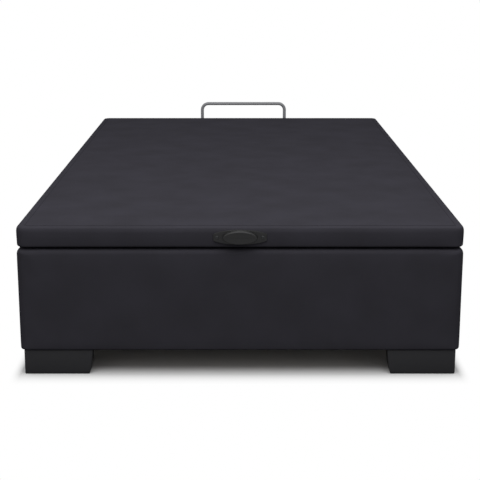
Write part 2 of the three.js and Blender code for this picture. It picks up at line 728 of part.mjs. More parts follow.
function hingeLeaf(x, first, [low, high], holes) {
  const start = x - HINGE_LENGTH / 2;
  const plateY = [hingeScrewY - LEAF_BEYOND_SCREW, PIN_Y - KNUCKLE_RADIUS - SWING_GAP];
  const bodies = [block([start, start + HINGE_LENGTH], plateY, [low, high])];
  for (let i = first; i < HINGE_KNUCKLES; i += 2) {
    const along = [start + i * knuckleLength + FIT / 2, start + (i + 1) * knuckleLength - FIT / 2];
    bodies.push(prism(knuckleOutline, "x", along));
    bodies.push(block(along, [plateY[0], PIN_Y - TAB_END], [low, high]));
  }
  const bore = prism(pinBore, "x", [start - OVERRUN, start + HINGE_LENGTH + OVERRUN]);
  return cut(join(bodies), [bore, ...holes.map((screw) => sunkHole(screw, LEAF_SHEET + OVERRUN))]);
}

const outerHingeX = HALF_WIDTH - HINGE_FROM_SIDE;
const hingePlaces = { left: -outerHingeX, middle: 0, right: outerHingeX };
for (const [name, x] of Object.entries(hingePlaces)) {
  const wallScrews = leafScrews(x, WALL_LEAF_SCREW_IN, wallLeafTop, UP);
  const wallLeaf = hingeLeaf(x, 0, [WALL_TOP + FIT, wallLeafTop], wallScrews);
  add(`hinge_wall_leaf_${name}`, wallLeaf, zincSteel());
  const lidScrews = leafScrews(x, LID_LEAF_SCREW_IN, lidLeafBottom, DOWN);
  const lidLeaf = hingeLeaf(x, 1, [lidLeafBottom, LID_BOTTOM - FIT], lidScrews);
  add(`hinge_lid_leaf_${name}`, lidLeaf, zincSteel());
}
const pinEnd = HINGE_LENGTH / 2 + FIT + PIN_HEAD;
for (const [name, x] of Object.entries(hingePlaces)) {
  const pin = turned(
    [
      [0, -pinEnd],
      [PIN_HEAD_RADIUS, -pinEnd],
      [PIN_HEAD_RADIUS, -pinEnd + PIN_HEAD],
      [HINGE_PIN_RADIUS, -pinEnd + PIN_HEAD],
      [HINGE_PIN_RADIUS, pinEnd - PIN_HEAD],
      [PIN_HEAD_RADIUS, pinEnd - PIN_HEAD],
      [PIN_HEAD_RADIUS, pinEnd],
      [0, pinEnd],
    ],
    place(x, PIN_Y, PIN_Z),
    TO_SIDE(1),
    ROUND_SIDES,
  );
  add(`hinge_pin_${name}`, pin, zincSteel());
}

// Gas strut brackets: a plate with a pin for the strut's eye, a collar behind the eye and a clip
// in front of it
function eyePin(side, from, y, z) {
  const eyeOuter = strutX + EYE_WIDTH / 2 + FIT;
  const eyeInner = strutX - EYE_WIDTH / 2 - FIT;
  return [
    prism(circle([y, z], COLLAR_RADIUS), "x", [side * (from + FIT), side * eyeOuter]),
    prism(circle([y, z], EYE_PIN_RADIUS), "x", [side * from, side * (eyeInner - CLIP)]),
    prism(circle([y, z], COLLAR_RADIUS), "x", [side * eyeInner, side * (eyeInner - CLIP)]),
  ];
}

for (const [name, side] of Object.entries(SIDES)) {
  const wallPlate = block(
    [side * wallPlateX, side * (wallPlateX + PLATE)],
    [wallEyeY - WALL_PLATE_LENGTH / 2, wallEyeY + WALL_PLATE_LENGTH / 2],
    [wallEyeZ - WALL_PLATE_HEIGHT / 2, wallEyeZ + WALL_PLATE_HEIGHT / 2],
  );
  const wallHoles = wallPlateScrews(side).map((screw) => screwHole(screw, PLATE + OVERRUN));
  const wallBracket = join([wallPlate, ...eyePin(side, wallPlateX, wallEyeY, wallEyeZ)]);
  add(`strut_wall_bracket_${name}`, cut(wallBracket, wallHoles), blackSteel());

  const top = LID_PLATE_LENGTH / 2;
  const foot = LID_PLATE_FOOT_LENGTH / 2;
  const web = prism(
    rounded([
      [lidEyeY - top, lidPlateTop, 0],
      [lidEyeY - foot, lidEyeZ - LID_PLATE_BELOW, LID_PLATE_RADIUS],
      [lidEyeY + foot, lidEyeZ - LID_PLATE_BELOW, LID_PLATE_RADIUS],
      [lidEyeY + top, lidPlateTop, 0],
    ]),
    "x",
    [side * lidPlateX, side * (lidPlateX + PLATE)],
  );
  const flange = block(
    [side * (lidPlateX + PLATE), side * flangeEdgeX],
    [lidEyeY - top, lidEyeY + top],
    [lidPlateTop - PLATE, lidPlateTop],
  );
  const lidHoles = lidPlateScrews(side).map((screw) => screwHole(screw, PLATE + OVERRUN));
  const lidBracket = join([web, flange, ...eyePin(side, lidPlateX, lidEyeY, lidEyeZ)]);
  add(`strut_lid_bracket_${name}`, cut(lidBracket, lidHoles), blackSteel());
}

// Gas struts, built upright from the lower eye and then leaned towards the upper one. The tube is
// open at its gland, and the rod's piston runs inside it
const strutLean = Math.atan2(lidEyeY - wallEyeY, lidEyeZ - wallEyeZ);
const leaned = (profile, x, sides = ROUND_SIDES) =>
  turned(
    profile,
    place(x, wallEyeY, wallEyeZ),
    place(0, Math.sin(strutLean), Math.cos(strutLean)),
    sides,
  );
const eyeHole = (x, y, z) =>
  prism(circle([y, z], EYE_PIN_RADIUS + EYE_PIN_PLAY), "x", [x - EYE_WIDTH, x + EYE_WIDTH]);
const eyeDisc = (x, y, z) =>
  prism(circle([y, z], EYE_RADIUS), "x", [x - EYE_WIDTH / 2, x + EYE_WIDTH / 2]);

for (const [name, side] of Object.entries(SIDES)) {
  const x = side * strutX;
  const tubeEnd = strutClosed - ROD_SHOWN;
  const boreStart = TUBE_START + TUBE_FLOOR;
  const boreRadius = TUBE_RADIUS - TUBE_WALL;
  const shank = leaned(
    [
      [0, 0],
      [EYE_WIDTH / 2, 0],
      [EYE_WIDTH / 2, TUBE_START],
      [TUBE_RADIUS, TUBE_START],
      [TUBE_RADIUS, tubeEnd],
      [0, tubeEnd],
    ],
    x,
  );
  const bore = leaned(
    [
      [0, boreStart],
      [boreRadius, boreStart],
      [boreRadius, tubeEnd - GLAND],
      [ROD_RADIUS + ROD_PLAY, tubeEnd - GLAND],
      [ROD_RADIUS + ROD_PLAY, tubeEnd + OVERRUN],
      [0, tubeEnd + OVERRUN],
    ],
    x,
  );
  const tube = join([shank, eyeDisc(x, wallEyeY, wallEyeZ)]);
  const tubeCut = cut(tube, [bore, eyeHole(x, wallEyeY, wallEyeZ)]);
  add(`strut_tube_${name}`, tubeCut, blackSteel());

  const pistonStart = boreStart + PISTON_UP;
  const pistonRadius = boreRadius - PISTON_PLAY;
  const rod = leaned(
    [
      [0, pistonStart],
      [pistonRadius, pistonStart],
      [pistonRadius, pistonStart + PISTON],
      [ROD_RADIUS, pistonStart + PISTON],
      [ROD_RADIUS, strutClosed],
      [0, strutClosed],
    ],
    x,
  );
  const rodWhole = join([rod, eyeDisc(x, lidEyeY, lidEyeZ)]);
  add(`strut_rod_${name}`, cut(rodWhole, [eyeHole(x, lidEyeY, lidEyeZ)]), chromedSteel());
}

// Pull cup: a flat plate with squared ends, and an oval cup on it that is open underneath
function ellipse(halfLength, halfHeight, sides) {
  return Array.from({ length: sides }, (_, i) => {
    const angle = (2 * Math.PI * i) / sides;
    return new THREE.Vector2(halfLength * Math.cos(angle), handleZ + halfHeight * Math.sin(angle));
  });
}

function handlePlate() {
  const halfEllipse = HANDLE_LENGTH / 2 + HANDLE_END_CUT;
  const edge = Array.from({ length: HANDLE_STEPS + 1 }, (_, i) => {
    const x = -HANDLE_LENGTH / 2 + (HANDLE_LENGTH * i) / HANDLE_STEPS;
    return [x, (HANDLE_HEIGHT / 2) * Math.sqrt(1 - (x / halfEllipse) ** 2)];
  });
  const lower = edge.map(([x, rise]) => new THREE.Vector2(x, handleZ - rise));
  const upper = edge.map(([x, rise]) => new THREE.Vector2(x, handleZ + rise)).reverse();
  return prism([...lower, ...upper], "y", [handleFront, FRONT - FIT]);
}

// The cup's shape as an oval for each step of its depth, from the wall out
function cupBody(halfLength, halfHeight, depth, start) {
  const outline = (share) => ellipse(halfLength * share, halfHeight * share, CUP_SIDES);
  const steps = CUP_ROUND_SHARES.slice(1).map(([sizeShare, depthShare], i) => {
    const [sizeBefore, depthBefore] = CUP_ROUND_SHARES[i];
    return taperedOval(outline(sizeBefore), outline(sizeShare), [
      start - depth * depthBefore,
      start - depth * depthShare,
    ]);
  });
  return join(steps);
}

function taperedOval(backOutline, frontOutline, [backY, frontY]) {
  const count = backOutline.length;
  const points = [
    ...backOutline.flatMap(({ x, y }) => [x, backY, y]),
    ...frontOutline.flatMap(({ x, y }) => [x, frontY, y]),
  ];
  const indices = [];
  for (let i = 0; i < count; i++) {
    const next = (i + 1) % count;
    indices.push(i, next, i + count, next, next + count, i + count);
    if (i > 0 && i < count - 1) {
      indices.push(0, next, i, count, count + i, count + next);
    }
  }
  const geometry = new THREE.BufferGeometry();
  geometry.setAttribute("position", new THREE.Float32BufferAttribute(points, 3));
  geometry.setIndex(indices);
  return solid(geometry);
}

const cupBack = FRONT - FIT;
const cupHalfLength = HANDLE_LENGTH / 2 - CUP_FROM_END;
const cupHalfHeight = HANDLE_HEIGHT / 2 - CUP_FROM_EDGE;
const mouthHalf = cupHalfLength - CUP_MOUTH_IN;
const cupOuter = cupBody(cupHalfLength, cupHalfHeight, CUP_DEPTH, cupBack);
const cupInner = cupBody(
  cupHalfLength - CUP_WALL,
  cupHalfHeight - CUP_WALL,
  CUP_DEPTH - CUP_WALL + OVERRUN,
  cupBack + OVERRUN,
);
const cupMouth = block(
  [-mouthHalf, mouthHalf],
  [handleFront, cupBack - CUP_DEPTH + CUP_WALL],
  [handleZ - cupHalfHeight - OVERRUN, handleZ],
);
const handle = cut(join([handlePlate(), cupOuter]), [cupInner, cupMouth, ...handleHoles]);
add("handle", handle, blackPlastic());
Object.keys(SIDES).forEach((name, i) => {
  add(`handle_screw_${name}`, panScrew(handleScrews[i], HANDLE_SCREW_LENGTH), blackSteel());
});

// Mattress bar: a rod bent to a wide U, upside down, held by two straps on the lid's head end
class BentRod extends THREE.Curve {
  constructor(points) {
    super();
    this.points = points;
  }

  getPoint(share, target = new THREE.Vector3()) {
    const along = share * (this.points.length - 1);
    const from = Math.min(Math.floor(along), this.points.length - 2);
    return target.lerpVectors(this.points[from], this.points[from + 1], along - from);
  }

  getPointAt(share, target) {
    return this.getPoint(share, target);
  }

  getTangentAt(share, target) {
    return this.getTangent(share, target);
  }
}

const barY = BACK + FIT + BAR_RADIUS;
const barTop = LID_TOP + BAR_RISE - BAR_RADIUS;
const barBottom = LID_BOTTOM + BAR_END_UP;
const bend = (side, from, to) =>
  arc([strapX(side) - side * BAR_BEND, barTop - BAR_BEND], BAR_BEND, from, to).map(
    ({ x, y }) => place(x, barY, y),
  );
const barPath = new BentRod([
  place(strapX(-1), barY, barBottom),
  ...bend(-1, Math.PI, Math.PI / 2),
  ...bend(1, Math.PI / 2, 0),
  place(strapX(1), barY, barBottom),
]);
const barGeometry = new THREE.ExtrudeGeometry(new THREE.Shape(circle([0, 0], BAR_RADIUS)), {
  steps: barPath.points.length - 1,
  extrudePath: barPath,
});
add("mattress_bar", solid(barGeometry), coatedSteel());

for (const [name, side] of Object.entries(SIDES)) {
  const x = strapX(side);
  const y = BACK + FIT;
  const inner = BAR_RADIUS + FIT;
  const rest = y + BAR_RADIUS;
  const outline = [
    new THREE.Vector2(x + STRAP_HALF, y),
    new THREE.Vector2(x + STRAP_HALF, y + STRAP_SHEET),
    new THREE.Vector2(x + STRAP_OUTER_RADIUS, y + STRAP_SHEET),
    ...arc([x, rest], STRAP_OUTER_RADIUS, 0, Math.PI, 2 * ARC_STEPS),
    new THREE.Vector2(x - STRAP_OUTER_RADIUS, y + STRAP_SHEET),
    new THREE.Vector2(x - STRAP_HALF, y + STRAP_SHEET),
    new THREE.Vector2(x - STRAP_HALF, y),
    new THREE.Vector2(x - inner, y),
    ...arc([x, rest], inner, Math.PI, 0, 2 * ARC_STEPS),
    new THREE.Vector2(x + inner, y),
  ];
  const strap = prism(outline, "z", [strapBottom, strapBottom + STRAP_HEIGHT]);
  const holes = strapScrews(side).map((screw) => screwHole(screw, STRAP_SHEET + OVERRUN));
  add(`bar_strap_${name}`, cut(strap, holes), zincSteel());
}

// Buffers on top of the side walls, near the foot end
for (const [name, side] of Object.entries(SIDES)) {
  const buffer = turned(
    [
      [0, 0],
      [BUFFER_RADIUS, 0],
      [BUFFER_RADIUS, LID_GAP - 2 * FIT],
      [0, LID_GAP - 2 * FIT],
    ],
    place(side * (HALF_WIDTH - BUFFER_IN), FRONT + BUFFER_FROM_FOOT_END, WALL_TOP + FIT),
    UP,
    ROUND_SIDES,
  );
  add(`lid_buffer_${name}`, buffer, rubber());
}

export default bed;
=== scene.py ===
import json
import math

import bmesh
import bpy
import numpy as np
from mathutils import Matrix, Vector


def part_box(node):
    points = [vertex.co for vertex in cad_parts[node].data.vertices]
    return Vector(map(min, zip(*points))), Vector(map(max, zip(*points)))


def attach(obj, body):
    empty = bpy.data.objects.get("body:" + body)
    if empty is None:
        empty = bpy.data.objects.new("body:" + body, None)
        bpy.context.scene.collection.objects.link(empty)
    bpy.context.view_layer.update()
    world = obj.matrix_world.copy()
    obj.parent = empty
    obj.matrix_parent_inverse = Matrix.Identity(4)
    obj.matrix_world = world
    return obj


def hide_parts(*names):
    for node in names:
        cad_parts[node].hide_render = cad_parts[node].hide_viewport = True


MM = 0.001
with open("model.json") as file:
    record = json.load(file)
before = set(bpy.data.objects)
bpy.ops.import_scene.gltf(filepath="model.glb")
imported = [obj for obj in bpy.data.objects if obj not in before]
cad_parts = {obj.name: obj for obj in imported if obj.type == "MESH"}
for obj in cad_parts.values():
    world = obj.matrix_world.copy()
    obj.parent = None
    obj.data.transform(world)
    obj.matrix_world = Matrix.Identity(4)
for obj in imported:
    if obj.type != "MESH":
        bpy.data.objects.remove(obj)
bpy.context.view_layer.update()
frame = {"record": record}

# Camera. It stands in front of the foot end at eye height for the bed, looks down a little, and
# frames the whole base with the far edge of the lid in the upper part of the picture.
PHOTO_SIZE = 480
FOCAL_PIXELS = 1196.5
SENSOR_WIDTH = 36
CAMERA_HEIGHT = 982.4 * MM
CAMERA_DISTANCE = 2711 * MM
CAMERA_PITCH = math.radians(13.51)

front_low, front_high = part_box("foot_end_cover")
FRONT = front_low.y
bpy.ops.object.camera_add(
    location=(0, FRONT - CAMERA_DISTANCE, CAMERA_HEIGHT),
    rotation=(math.pi / 2 - CAMERA_PITCH, 0, 0),
)
camera = bpy.context.object
camera.data.sensor_width = SENSOR_WIDTH
camera.data.lens = FOCAL_PIXELS * SENSOR_WIDTH / PHOTO_SIZE
bpy.context.scene.camera = camera
bpy.context.scene.view_settings.view_transform = "Standard"


# Studio: a pale floor that runs on into a white surround, under an even sky and one wide soft lamp
# high in front. The floor looks white, bounces as a mid grey and keeps the bed's shadow.
def colour(hexadecimal):
    """The linear colour of an sRGB hex value."""
    parts = [int(hexadecimal[i : i + 2], 16) / 255 for i in (1, 3, 5)]
    return [p / 12.92 if p <= 0.04045 else ((p + 0.055) / 1.055) ** 2.4 for p in parts] + [1]


def node(tree, kind, settings=None, inputs=None):
    """Adds one shader node, with its settings, and with a value or a link for each input."""
    made = tree.nodes.new("ShaderNode" + kind)
    for name, value in (settings or {}).items():
        setattr(made, name, value)
    for name, value in (inputs or {}).items():
        if isinstance(value, bpy.types.NodeSocket):
            tree.links.new(value, made.inputs[name])
        else:
            made.inputs[name].default_value = value
    return made.outputs


FLOOR_SIZE = 40
FLOOR_WHITE = "#cacaca"
FLOOR_BOUNCE = "#565656"
SHADOW_SIDE = 26 * MM  # how far the shadow shows beyond the bed's footprint
SHADOW_END = 80 * MM
SHADOW_CURVE = 2  # thins the shadow out faster close to the bed
SKY = "#ffffff"
SKY_STRENGTH = 0.648
LAMP_SIZE = 2.6
LAMP_PLACE = Vector((0, -1.6, 2.6))
LAMP_AIM = Vector((0, -0.4, 0.36))
LAMP_POWER = 66
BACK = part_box("head_end_cover")[1].y


def seen_directly(tree):
    """One where the ray comes from the camera, from a mirror or through glass."""
    ray = node(tree, "LightPath")
    seen = ray["Is Camera Ray"]
    for other in ("Is Glossy Ray", "Is Transmission Ray"):
        seen = node(tree, "Math", {"operation": "MAXIMUM"}, {0: seen, 1: ray[other]})[0]
    return seen


studio = bpy.data.worlds.new("studio")
studio.use_nodes = True
tree = studio.node_tree
tree.nodes.clear()
sky_light = node(tree, "Background", None, {"Color": colour(SKY), "Strength": SKY_STRENGTH})[0]
sky_white = node(tree, "Background", None, {"Color": (1, 1, 1, 1), "Strength": 1})[0]
sky = node(tree, "MixShader", None, {0: seen_directly(tree), 1: sky_light, 2: sky_white})[0]
node(tree, "OutputWorld", None, {"Surface": sky})
bpy.context.scene.world = studio

bpy.ops.object.light_add(type="AREA", location=LAMP_PLACE)
lamp = bpy.context.object
lamp.rotation_euler = (LAMP_AIM - LAMP_PLACE).to_track_quat("-Z", "Y").to_euler()
lamp.data.size = LAMP_SIZE
lamp.data.energy = LAMP_POWER

bpy.ops.mesh.primitive_plane_add(size=FLOOR_SIZE)
floor = bpy.context.object
floor.name = "floor"
floor_paint = bpy.data.materials.new("matt studio floor")
floor_paint.use_nodes = True
tree = floor_paint.node_tree
tree.nodes.clear()
place = node(tree, "SeparateXYZ", None, {0: node(tree, "TexCoord")["Object"]})
near_bed = 1
for axis, half, reach in (
    ("X", front_high.x, SHADOW_SIDE),
    ("Y", (BACK - FRONT) / 2, SHADOW_END),
):
    far = node(tree, "Math", {"operation": "ABSOLUTE"}, {0: place[axis]})[0]
    fade = {"Value": far, "From Min": half, "From Max": half + reach, "To Min": 1, "To Max": 0}
    fade = node(tree, "MapRange", None, fade)[0]
    near_bed = node(tree, "Math", {"operation": "MULTIPLY"}, {0: near_bed, 1: fade})[0]
near_bed = node(tree, "Math", {"operation": "POWER"}, {0: near_bed, 1: SHADOW_CURVE})[0]
shaded = node(tree, "BsdfDiffuse", None, {"Color": colour(FLOOR_WHITE)})[0]
white = node(tree, "Emission", None, {"Color": (1, 1, 1, 1), "Strength": 1})[0]
seen_floor = node(tree, "MixShader", None, {0: near_bed, 1: white, 2: shaded})[0]
bounce = node(tree, "BsdfDiffuse", None, {"Color": colour(FLOOR_BOUNCE)})[0]
floor_mix = node(tree, "MixShader", None, {0: seen_directly(tree), 1: bounce, 2: seen_floor})[0]
node(tree, "OutputMaterial", None, {"Surface": floor_mix})
floor.data.materials.append(floor_paint)


# Wall covers. Each box wall is a board with foam glued to its outer face, wrapped in one sheet of
# cloth that is pulled over the edges and folded onto the inner face, where it is stapled.

# The cloth is smooth charcoal polyester in a fine plain weave. It looks matt, and its dye is
# faintly uneven.
CLOTH_DARK = "#323136"
CLOTH_LIGHT = "#36353b"
THREAD = 2.4 * MM  # real threads are near 0.5 mm, drawn coarser so that the cloth reads as woven
MOTTLE = 110 * MM
CLOTH_ROUGHNESS = 0.88
CLOTH_SHINE = 0.0
WEAVE_DEPTH = 0.12 * MM
WEAVE_STRENGTH = 0.35
WAVE_PERIOD = math.pi / 10  # length of one band of the wave texture at scale 1
THREAD_WANDER = 0.6
NOISE_SPAN = {"From Min": 0.3, "From Max": 0.7}  # where most values of a noise texture lie


def new_material(name):
    """An empty material and its node tree."""
    made = bpy.data.materials.new(name)
    made.use_nodes = True
    made.node_tree.nodes.clear()
    return made, made.node_tree


CLOTH, tree = new_material("charcoal woven polyester")
cloth_place = node(tree, "UVMap", {"uv_map": "cloth"})[0]
thread_wave = {
    "Vector": cloth_place,
    "Scale": WAVE_PERIOD / THREAD,
    "Distortion": THREAD_WANDER,
    "Detail": 1,
}
threads = [
    node(tree, "TexWave", {"bands_direction": direction}, thread_wave)["Fac"]
    for direction in ("X", "Y")
]
weave = node(tree, "Math", {"operation": "MULTIPLY"}, {0: threads[0], 1: threads[1]})[0]
threads_relief = {"Height": weave, "Distance": WEAVE_DEPTH, "Strength": WEAVE_STRENGTH}
bumps = node(tree, "Bump", None, threads_relief)[0]
mottle = {"Vector": cloth_place, "Scale": 1 / MOTTLE, "Detail": 6}
dye = node(tree, "TexNoise", None, mottle)[0]
dye = node(tree, "MapRange", None, {"Value": dye, **NOISE_SPAN})[0]
tone = node(tree, "MixRGB", None, {0: dye, 1: colour(CLOTH_DARK), 2: colour(CLOTH_LIGHT)})[0]
cloth_finish = {
    "Base Color": tone,
    "Roughness": CLOTH_ROUGHNESS,
    "Specular IOR Level": CLOTH_SHINE,
    "Normal": bumps,
}
surface = node(tree, "BsdfPrincipled", None, cloth_finish)[0]
node(tree, "OutputMaterial", None, {"Surface": surface})

WALL_FOLD = 22 * MM
WALL_TOP_ROLL = 11 * MM
WALL_BOTTOM_ROLL = 4 * MM
WALL_FOLD_ROLL = 1.2 * MM
FOLD_STEPS = 2
ROLL_STEPS = 4
BED_CORNER = 20 * MM
CORNER_STEPS = 5
COVER_STEP = 14 * MM
COVER_CLOTH = 1.4 * MM
WALL_SWELL = 0.8 * MM  # the most that the stuffing moves a point
STUFFING_FRAMES = 20
STUFFING_PRESSURE = 2.0
CLOTH_MASS = 0.3
CLOTH_STIFFNESS = 40
CLOTH_BENDING = 2.0
NEAR = 0.1 * MM
STRAIGHT = 0.99  # a direction with this share along an axis lies along it
NO_ZERO = 1e-9


def start_edit():
    bpy.ops.object.mode_set(mode="EDIT")


def end_edit():
    bpy.ops.object.mode_set(mode="OBJECT")


def make_only(piece):
    """Selects one object and makes it the active one."""
    bpy.ops.object.select_all(action="DESELECT")
    bpy.context.view_layer.objects.active = piece
    piece.select_set(True)


def add_block(name, low, high):
    """A block between two corners. Its object stays at the origin, with its place in its mesh."""
    bpy.ops.object.select_all(action="DESELECT")
    bpy.ops.mesh.primitive_cube_add(size=1)
    made = bpy.context.object
    made.name = name
    low, high = Vector(low), Vector(high)
    made.data.transform(Matrix.LocRotScale((low + high) / 2, None, high - low))
    return made


def pick(kind, test):
    """In edit mode, selects the vertices, edges or faces whose place and direction pass a test."""
    mesh = bmesh.from_edit_mesh(bpy.context.edit_object.data)
    bpy.ops.mesh.select_mode(type={"verts": "VERT", "edges": "EDGE", "faces": "FACE"}[kind])
    bpy.ops.mesh.select_all(action="DESELECT")
    for part in getattr(mesh, kind):
        if kind == "verts":
            chosen = test(part.co, part.normal)
        elif kind == "edges":
            a, b = (v.co for v in part.verts)
            chosen = test((a + b) / 2, (b - a).normalized())
        else:
            chosen = test(part.calc_center_median(), part.normal)
        part.select_set(bool(chosen))
    mesh.select_flush_mode()
    bmesh.update_edit_mesh(bpy.context.edit_object.data)


def cut_across(axis, low, high, step):
    """In edit mode, cuts the whole mesh by planes square to an axis, a step or so apart."""
    direction = Vector([float(axis == a) for a in "xyz"])
    count = max(1, round((high - low) / step))
    for i in range(1, count):
        bpy.ops.mesh.select_all(action="SELECT")
        at = low + (high - low) * i / count
        bpy.ops.mesh.bisect(plane_co=direction * at, plane_no=direction)


def apply_modifier(piece, kind, **settings):
    """Adds a modifier with its settings and applies it."""
    make_only(piece)
    made = piece.modifiers.new(kind.lower(), kind)
    for name, value in settings.items():
        setattr(made, name, value)
    bpy.ops.object.modifier_apply(modifier=made.name)


def points_of(piece):
    """The places of a mesh's vertices, one row each."""
    flat = np.zeros(len(piece.data.vertices) * 3)
    piece.data.vertices.foreach_get("co", flat)
    return flat.reshape(-1, 3)


def stuff(piece, held, most):
    """Blows a cover up softly against its held points, and lets no point move more than most."""
    rest = points_of(piece)
    group = piece.vertex_groups.new(name="held")
    group.add([i for i, p in enumerate(rest) if held(Vector(p))], 1, "REPLACE")
    make_only(piece)
    cover = piece.modifiers.new("stuffing", "CLOTH")
    cover.settings.vertex_group_mass = "held"
    cover.settings.mass = CLOTH_MASS
    cover.settings.tension_stiffness = CLOTH_STIFFNESS
    cover.settings.compression_stiffness = CLOTH_STIFFNESS
    cover.settings.shear_stiffness = CLOTH_STIFFNESS
    cover.settings.bending_stiffness = CLOTH_BENDING
    cover.settings.use_pressure = True
    cover.settings.uniform_pressure_force = STUFFING_PRESSURE
    cover.settings.effector_weights.gravity = 0
    for i in range(1, STUFFING_FRAMES + 1):
        bpy.context.scene.frame_set(i)
    bpy.ops.object.modifier_apply(modifier=cover.name)
    moved = points_of(piece) - rest
    length = np.linalg.norm(moved, axis=1, keepdims=True) + NO_ZERO
    capped = rest + moved / length * most * np.tanh(length / most)
    piece.data.vertices.foreach_set("co", capped.ravel())
    piece.vertex_groups.clear()
    bpy.context.scene.frame_set(1)


def lay_cloth(piece):
    """A UV map in metres, laid along each face's nearest axis, as cloth is cut to the bed."""
    layer = piece.data.uv_layers.new(name="cloth")
    for face in piece.data.polygons:
        away = max(range(3), key=lambda a: abs(face.normal[a]))
        across, along = [a for a in range(3) if a != away]
        for corner in face.loop_indices:
            at = piece.data.vertices[piece.data.loops[corner].vertex_index].co
            layer.data[corner].uv = (at[across], at[along])


def hang(piece, body, nodes, material):
    """Gives a finished piece its material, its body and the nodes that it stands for."""
    piece.data.materials.clear()
    piece.data.materials.append(material)
    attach(piece, body)
    if nodes:
        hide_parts(*nodes)


def finish_cover(piece, body, nodes):
    """Gives a cover its cloth's thickness, smooths it and hangs it on its body."""
    apply_modifier(piece, "SOLIDIFY", thickness=COVER_CLOTH, offset=-1)
    apply_modifier(piece, "SUBSURF", levels=1, render_levels=1)
    piece.data.shade_smooth()
    lay_cloth(piece)
    hang(piece, body, nodes, CLOTH)


WALLS = {  # the axis that each wall faces along, which way, and whether its ends are rounded
    "foot_end": (1, -1, True),
    "head_end": (1, 1, True),
    "left_side": (0, -1, False),
    "right_side": (0, 1, False),
}
for name, (axis, sign, round_ends) in WALLS.items():
    low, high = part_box(name + "_cover")
    across = 1 - axis
    outer, inner = (high, low) if sign > 0 else (low, high)
    outer, inner = outer[axis], inner[axis]

    def rolled_edge(at, line, edge_z):
        level = abs(at.z - edge_z) < NEAR and abs(line.z) < 1 - STRAIGHT
        off_inside = abs(at[axis] - inner) > NEAR
        return level and off_inside and (round_ends or abs(line[across]) > STRAIGHT)

    def held(at):
        folded = abs(at[axis] - inner) < WALL_FOLD_ROLL + NEAR
        at_rim = min(high.z - at.z, at.z - low.z) < NEAR
        at_end = min(high[across] - at[across], at[across] - low[across]) < NEAR
        return folded or at_rim or (at_end and not round_ends)

    piece = add_block(name + "_upholstery", low, high)
    start_edit()
    if round_ends:
        pick("edges", lambda at, line: abs(line.z) > STRAIGHT and abs(at[axis] - outer) < NEAR)
        bpy.ops.mesh.bevel(offset=BED_CORNER, segments=CORNER_STEPS)
    for edge_z, roll in ((high.z, WALL_TOP_ROLL), (low.z, WALL_BOTTOM_ROLL)):
        pick("edges", lambda at, line: rolled_edge(at, line, edge_z))
        bpy.ops.mesh.bevel(offset=roll, segments=ROLL_STEPS)
    pick(
        "edges",
        lambda at, line: abs(at[axis] - inner) < NEAR and abs(line[axis]) < 1 - STRAIGHT,
    )
    bpy.ops.mesh.bevel(offset=WALL_FOLD_ROLL, segments=FOLD_STEPS)
    pick("faces", lambda at, normal: normal[axis] * sign < -STRAIGHT)
    bpy.ops.mesh.inset(thickness=WALL_FOLD - WALL_FOLD_ROLL)
    bpy.ops.mesh.delete(type="FACE")
    cut_across("xy"[across], low[across], high[across], COVER_STEP)
    cut_across("z", low.z, high.z, COVER_STEP)
    end_edit()
    stuff(piece, held, WALL_SWELL)
    finish_cover(piece, "base", [name + "_cover"])

# Lid band: a strip of foam-backed cloth round the lid's edge. Its upper edge is sewn to the top
# panel in a sunk seam, and its lower edge is pulled under the frame and stapled there.
BAND_STEP = 18 * MM
BAND_SWELL = 0.8 * MM
BAND_LEAN = 0.6 * MM  # how far the side draws in towards its lower edge
BAND_ROLL = [  # steps inwards and up, mm, from the side to the crest
    (0.1, 2.6),
    (0.3, 2.6),
    (0.6, 2.6),
    (0.9, 2.4),
    (1.2, 1.6),
    (1.8, 0.9),
    (3.4, 0.5),
    (4.5, 0.2),
    (4.5, 0),
]
SEAM_ROLL = (2.8, 2.6)  # mm, on from the crest to the seam and down into it
CREST_DROP = 0.9 * MM  # from the panel's middle down to the crest
BELLY_HEIGHT = 338 * MM
LID_CORNER = 22 * MM
BAND_BOTTOM_SECTION = [(0.4, 1.8), (1.0, 1.4), (1.6, 1.0), (2.2, 0.6), (8, 0), (8, 0)]
BAND_FOLD_TO = 42 * MM
FOLD_CORNER = 12 * MM  # points this close are merged, where drawing in has crowded a corner
NEAR_MIDDLE = 20 * MM  # only a middle face has its centre this close to the bed's middle
QUARTER_STEPS = 6


def add_plate(name, low, high, z, corner):
    """A flat plate with rounded corners, as one face that looks up, left in edit mode."""
    bpy.ops.object.select_all(action="DESELECT")
    bpy.ops.mesh.primitive_plane_add(size=1)
    made = bpy.context.object
    made.name = name
    middle = Vector(((low.x + high.x) / 2, (low.y + high.y) / 2, z))
    size = Vector((high.x - low.x, high.y - low.y, 1))
    made.data.transform(Matrix.LocRotScale(middle, None, size))
    start_edit()
    bpy.ops.mesh.select_all(action="SELECT")
    bpy.ops.mesh.bevel(offset=corner, segments=CORNER_STEPS, affect="VERTICES")
    return made


def quarter(inward, up):
    """Steps inwards and up round a quarter of an oval, from an upright wall to a level top."""
    angles = [math.pi / 2 * i / QUARTER_STEPS for i in range(QUARTER_STEPS + 1)]
    return [
        (inward * (math.cos(a) - math.cos(b)), up * (math.sin(b) - math.sin(a)))
        for a, b in zip(angles, angles[1:])
    ]


def draw_in(section):
    """Draws the chosen face in and lifts it along its normal, by steps in millimetres."""
    for inward, lift in section:
        bpy.ops.mesh.inset(thickness=inward * MM, depth=lift * MM)


def extrude(*move):
    """In edit mode, extrudes the chosen face by a move."""
    bpy.ops.mesh.extrude_region_move(TRANSFORM_OT_translate={"value": move})


def merge_doubles(distance):
    """In edit mode, merges all points that lie this close together."""
    bpy.ops.mesh.select_all(action="SELECT")
    bpy.ops.mesh.remove_doubles(threshold=distance)


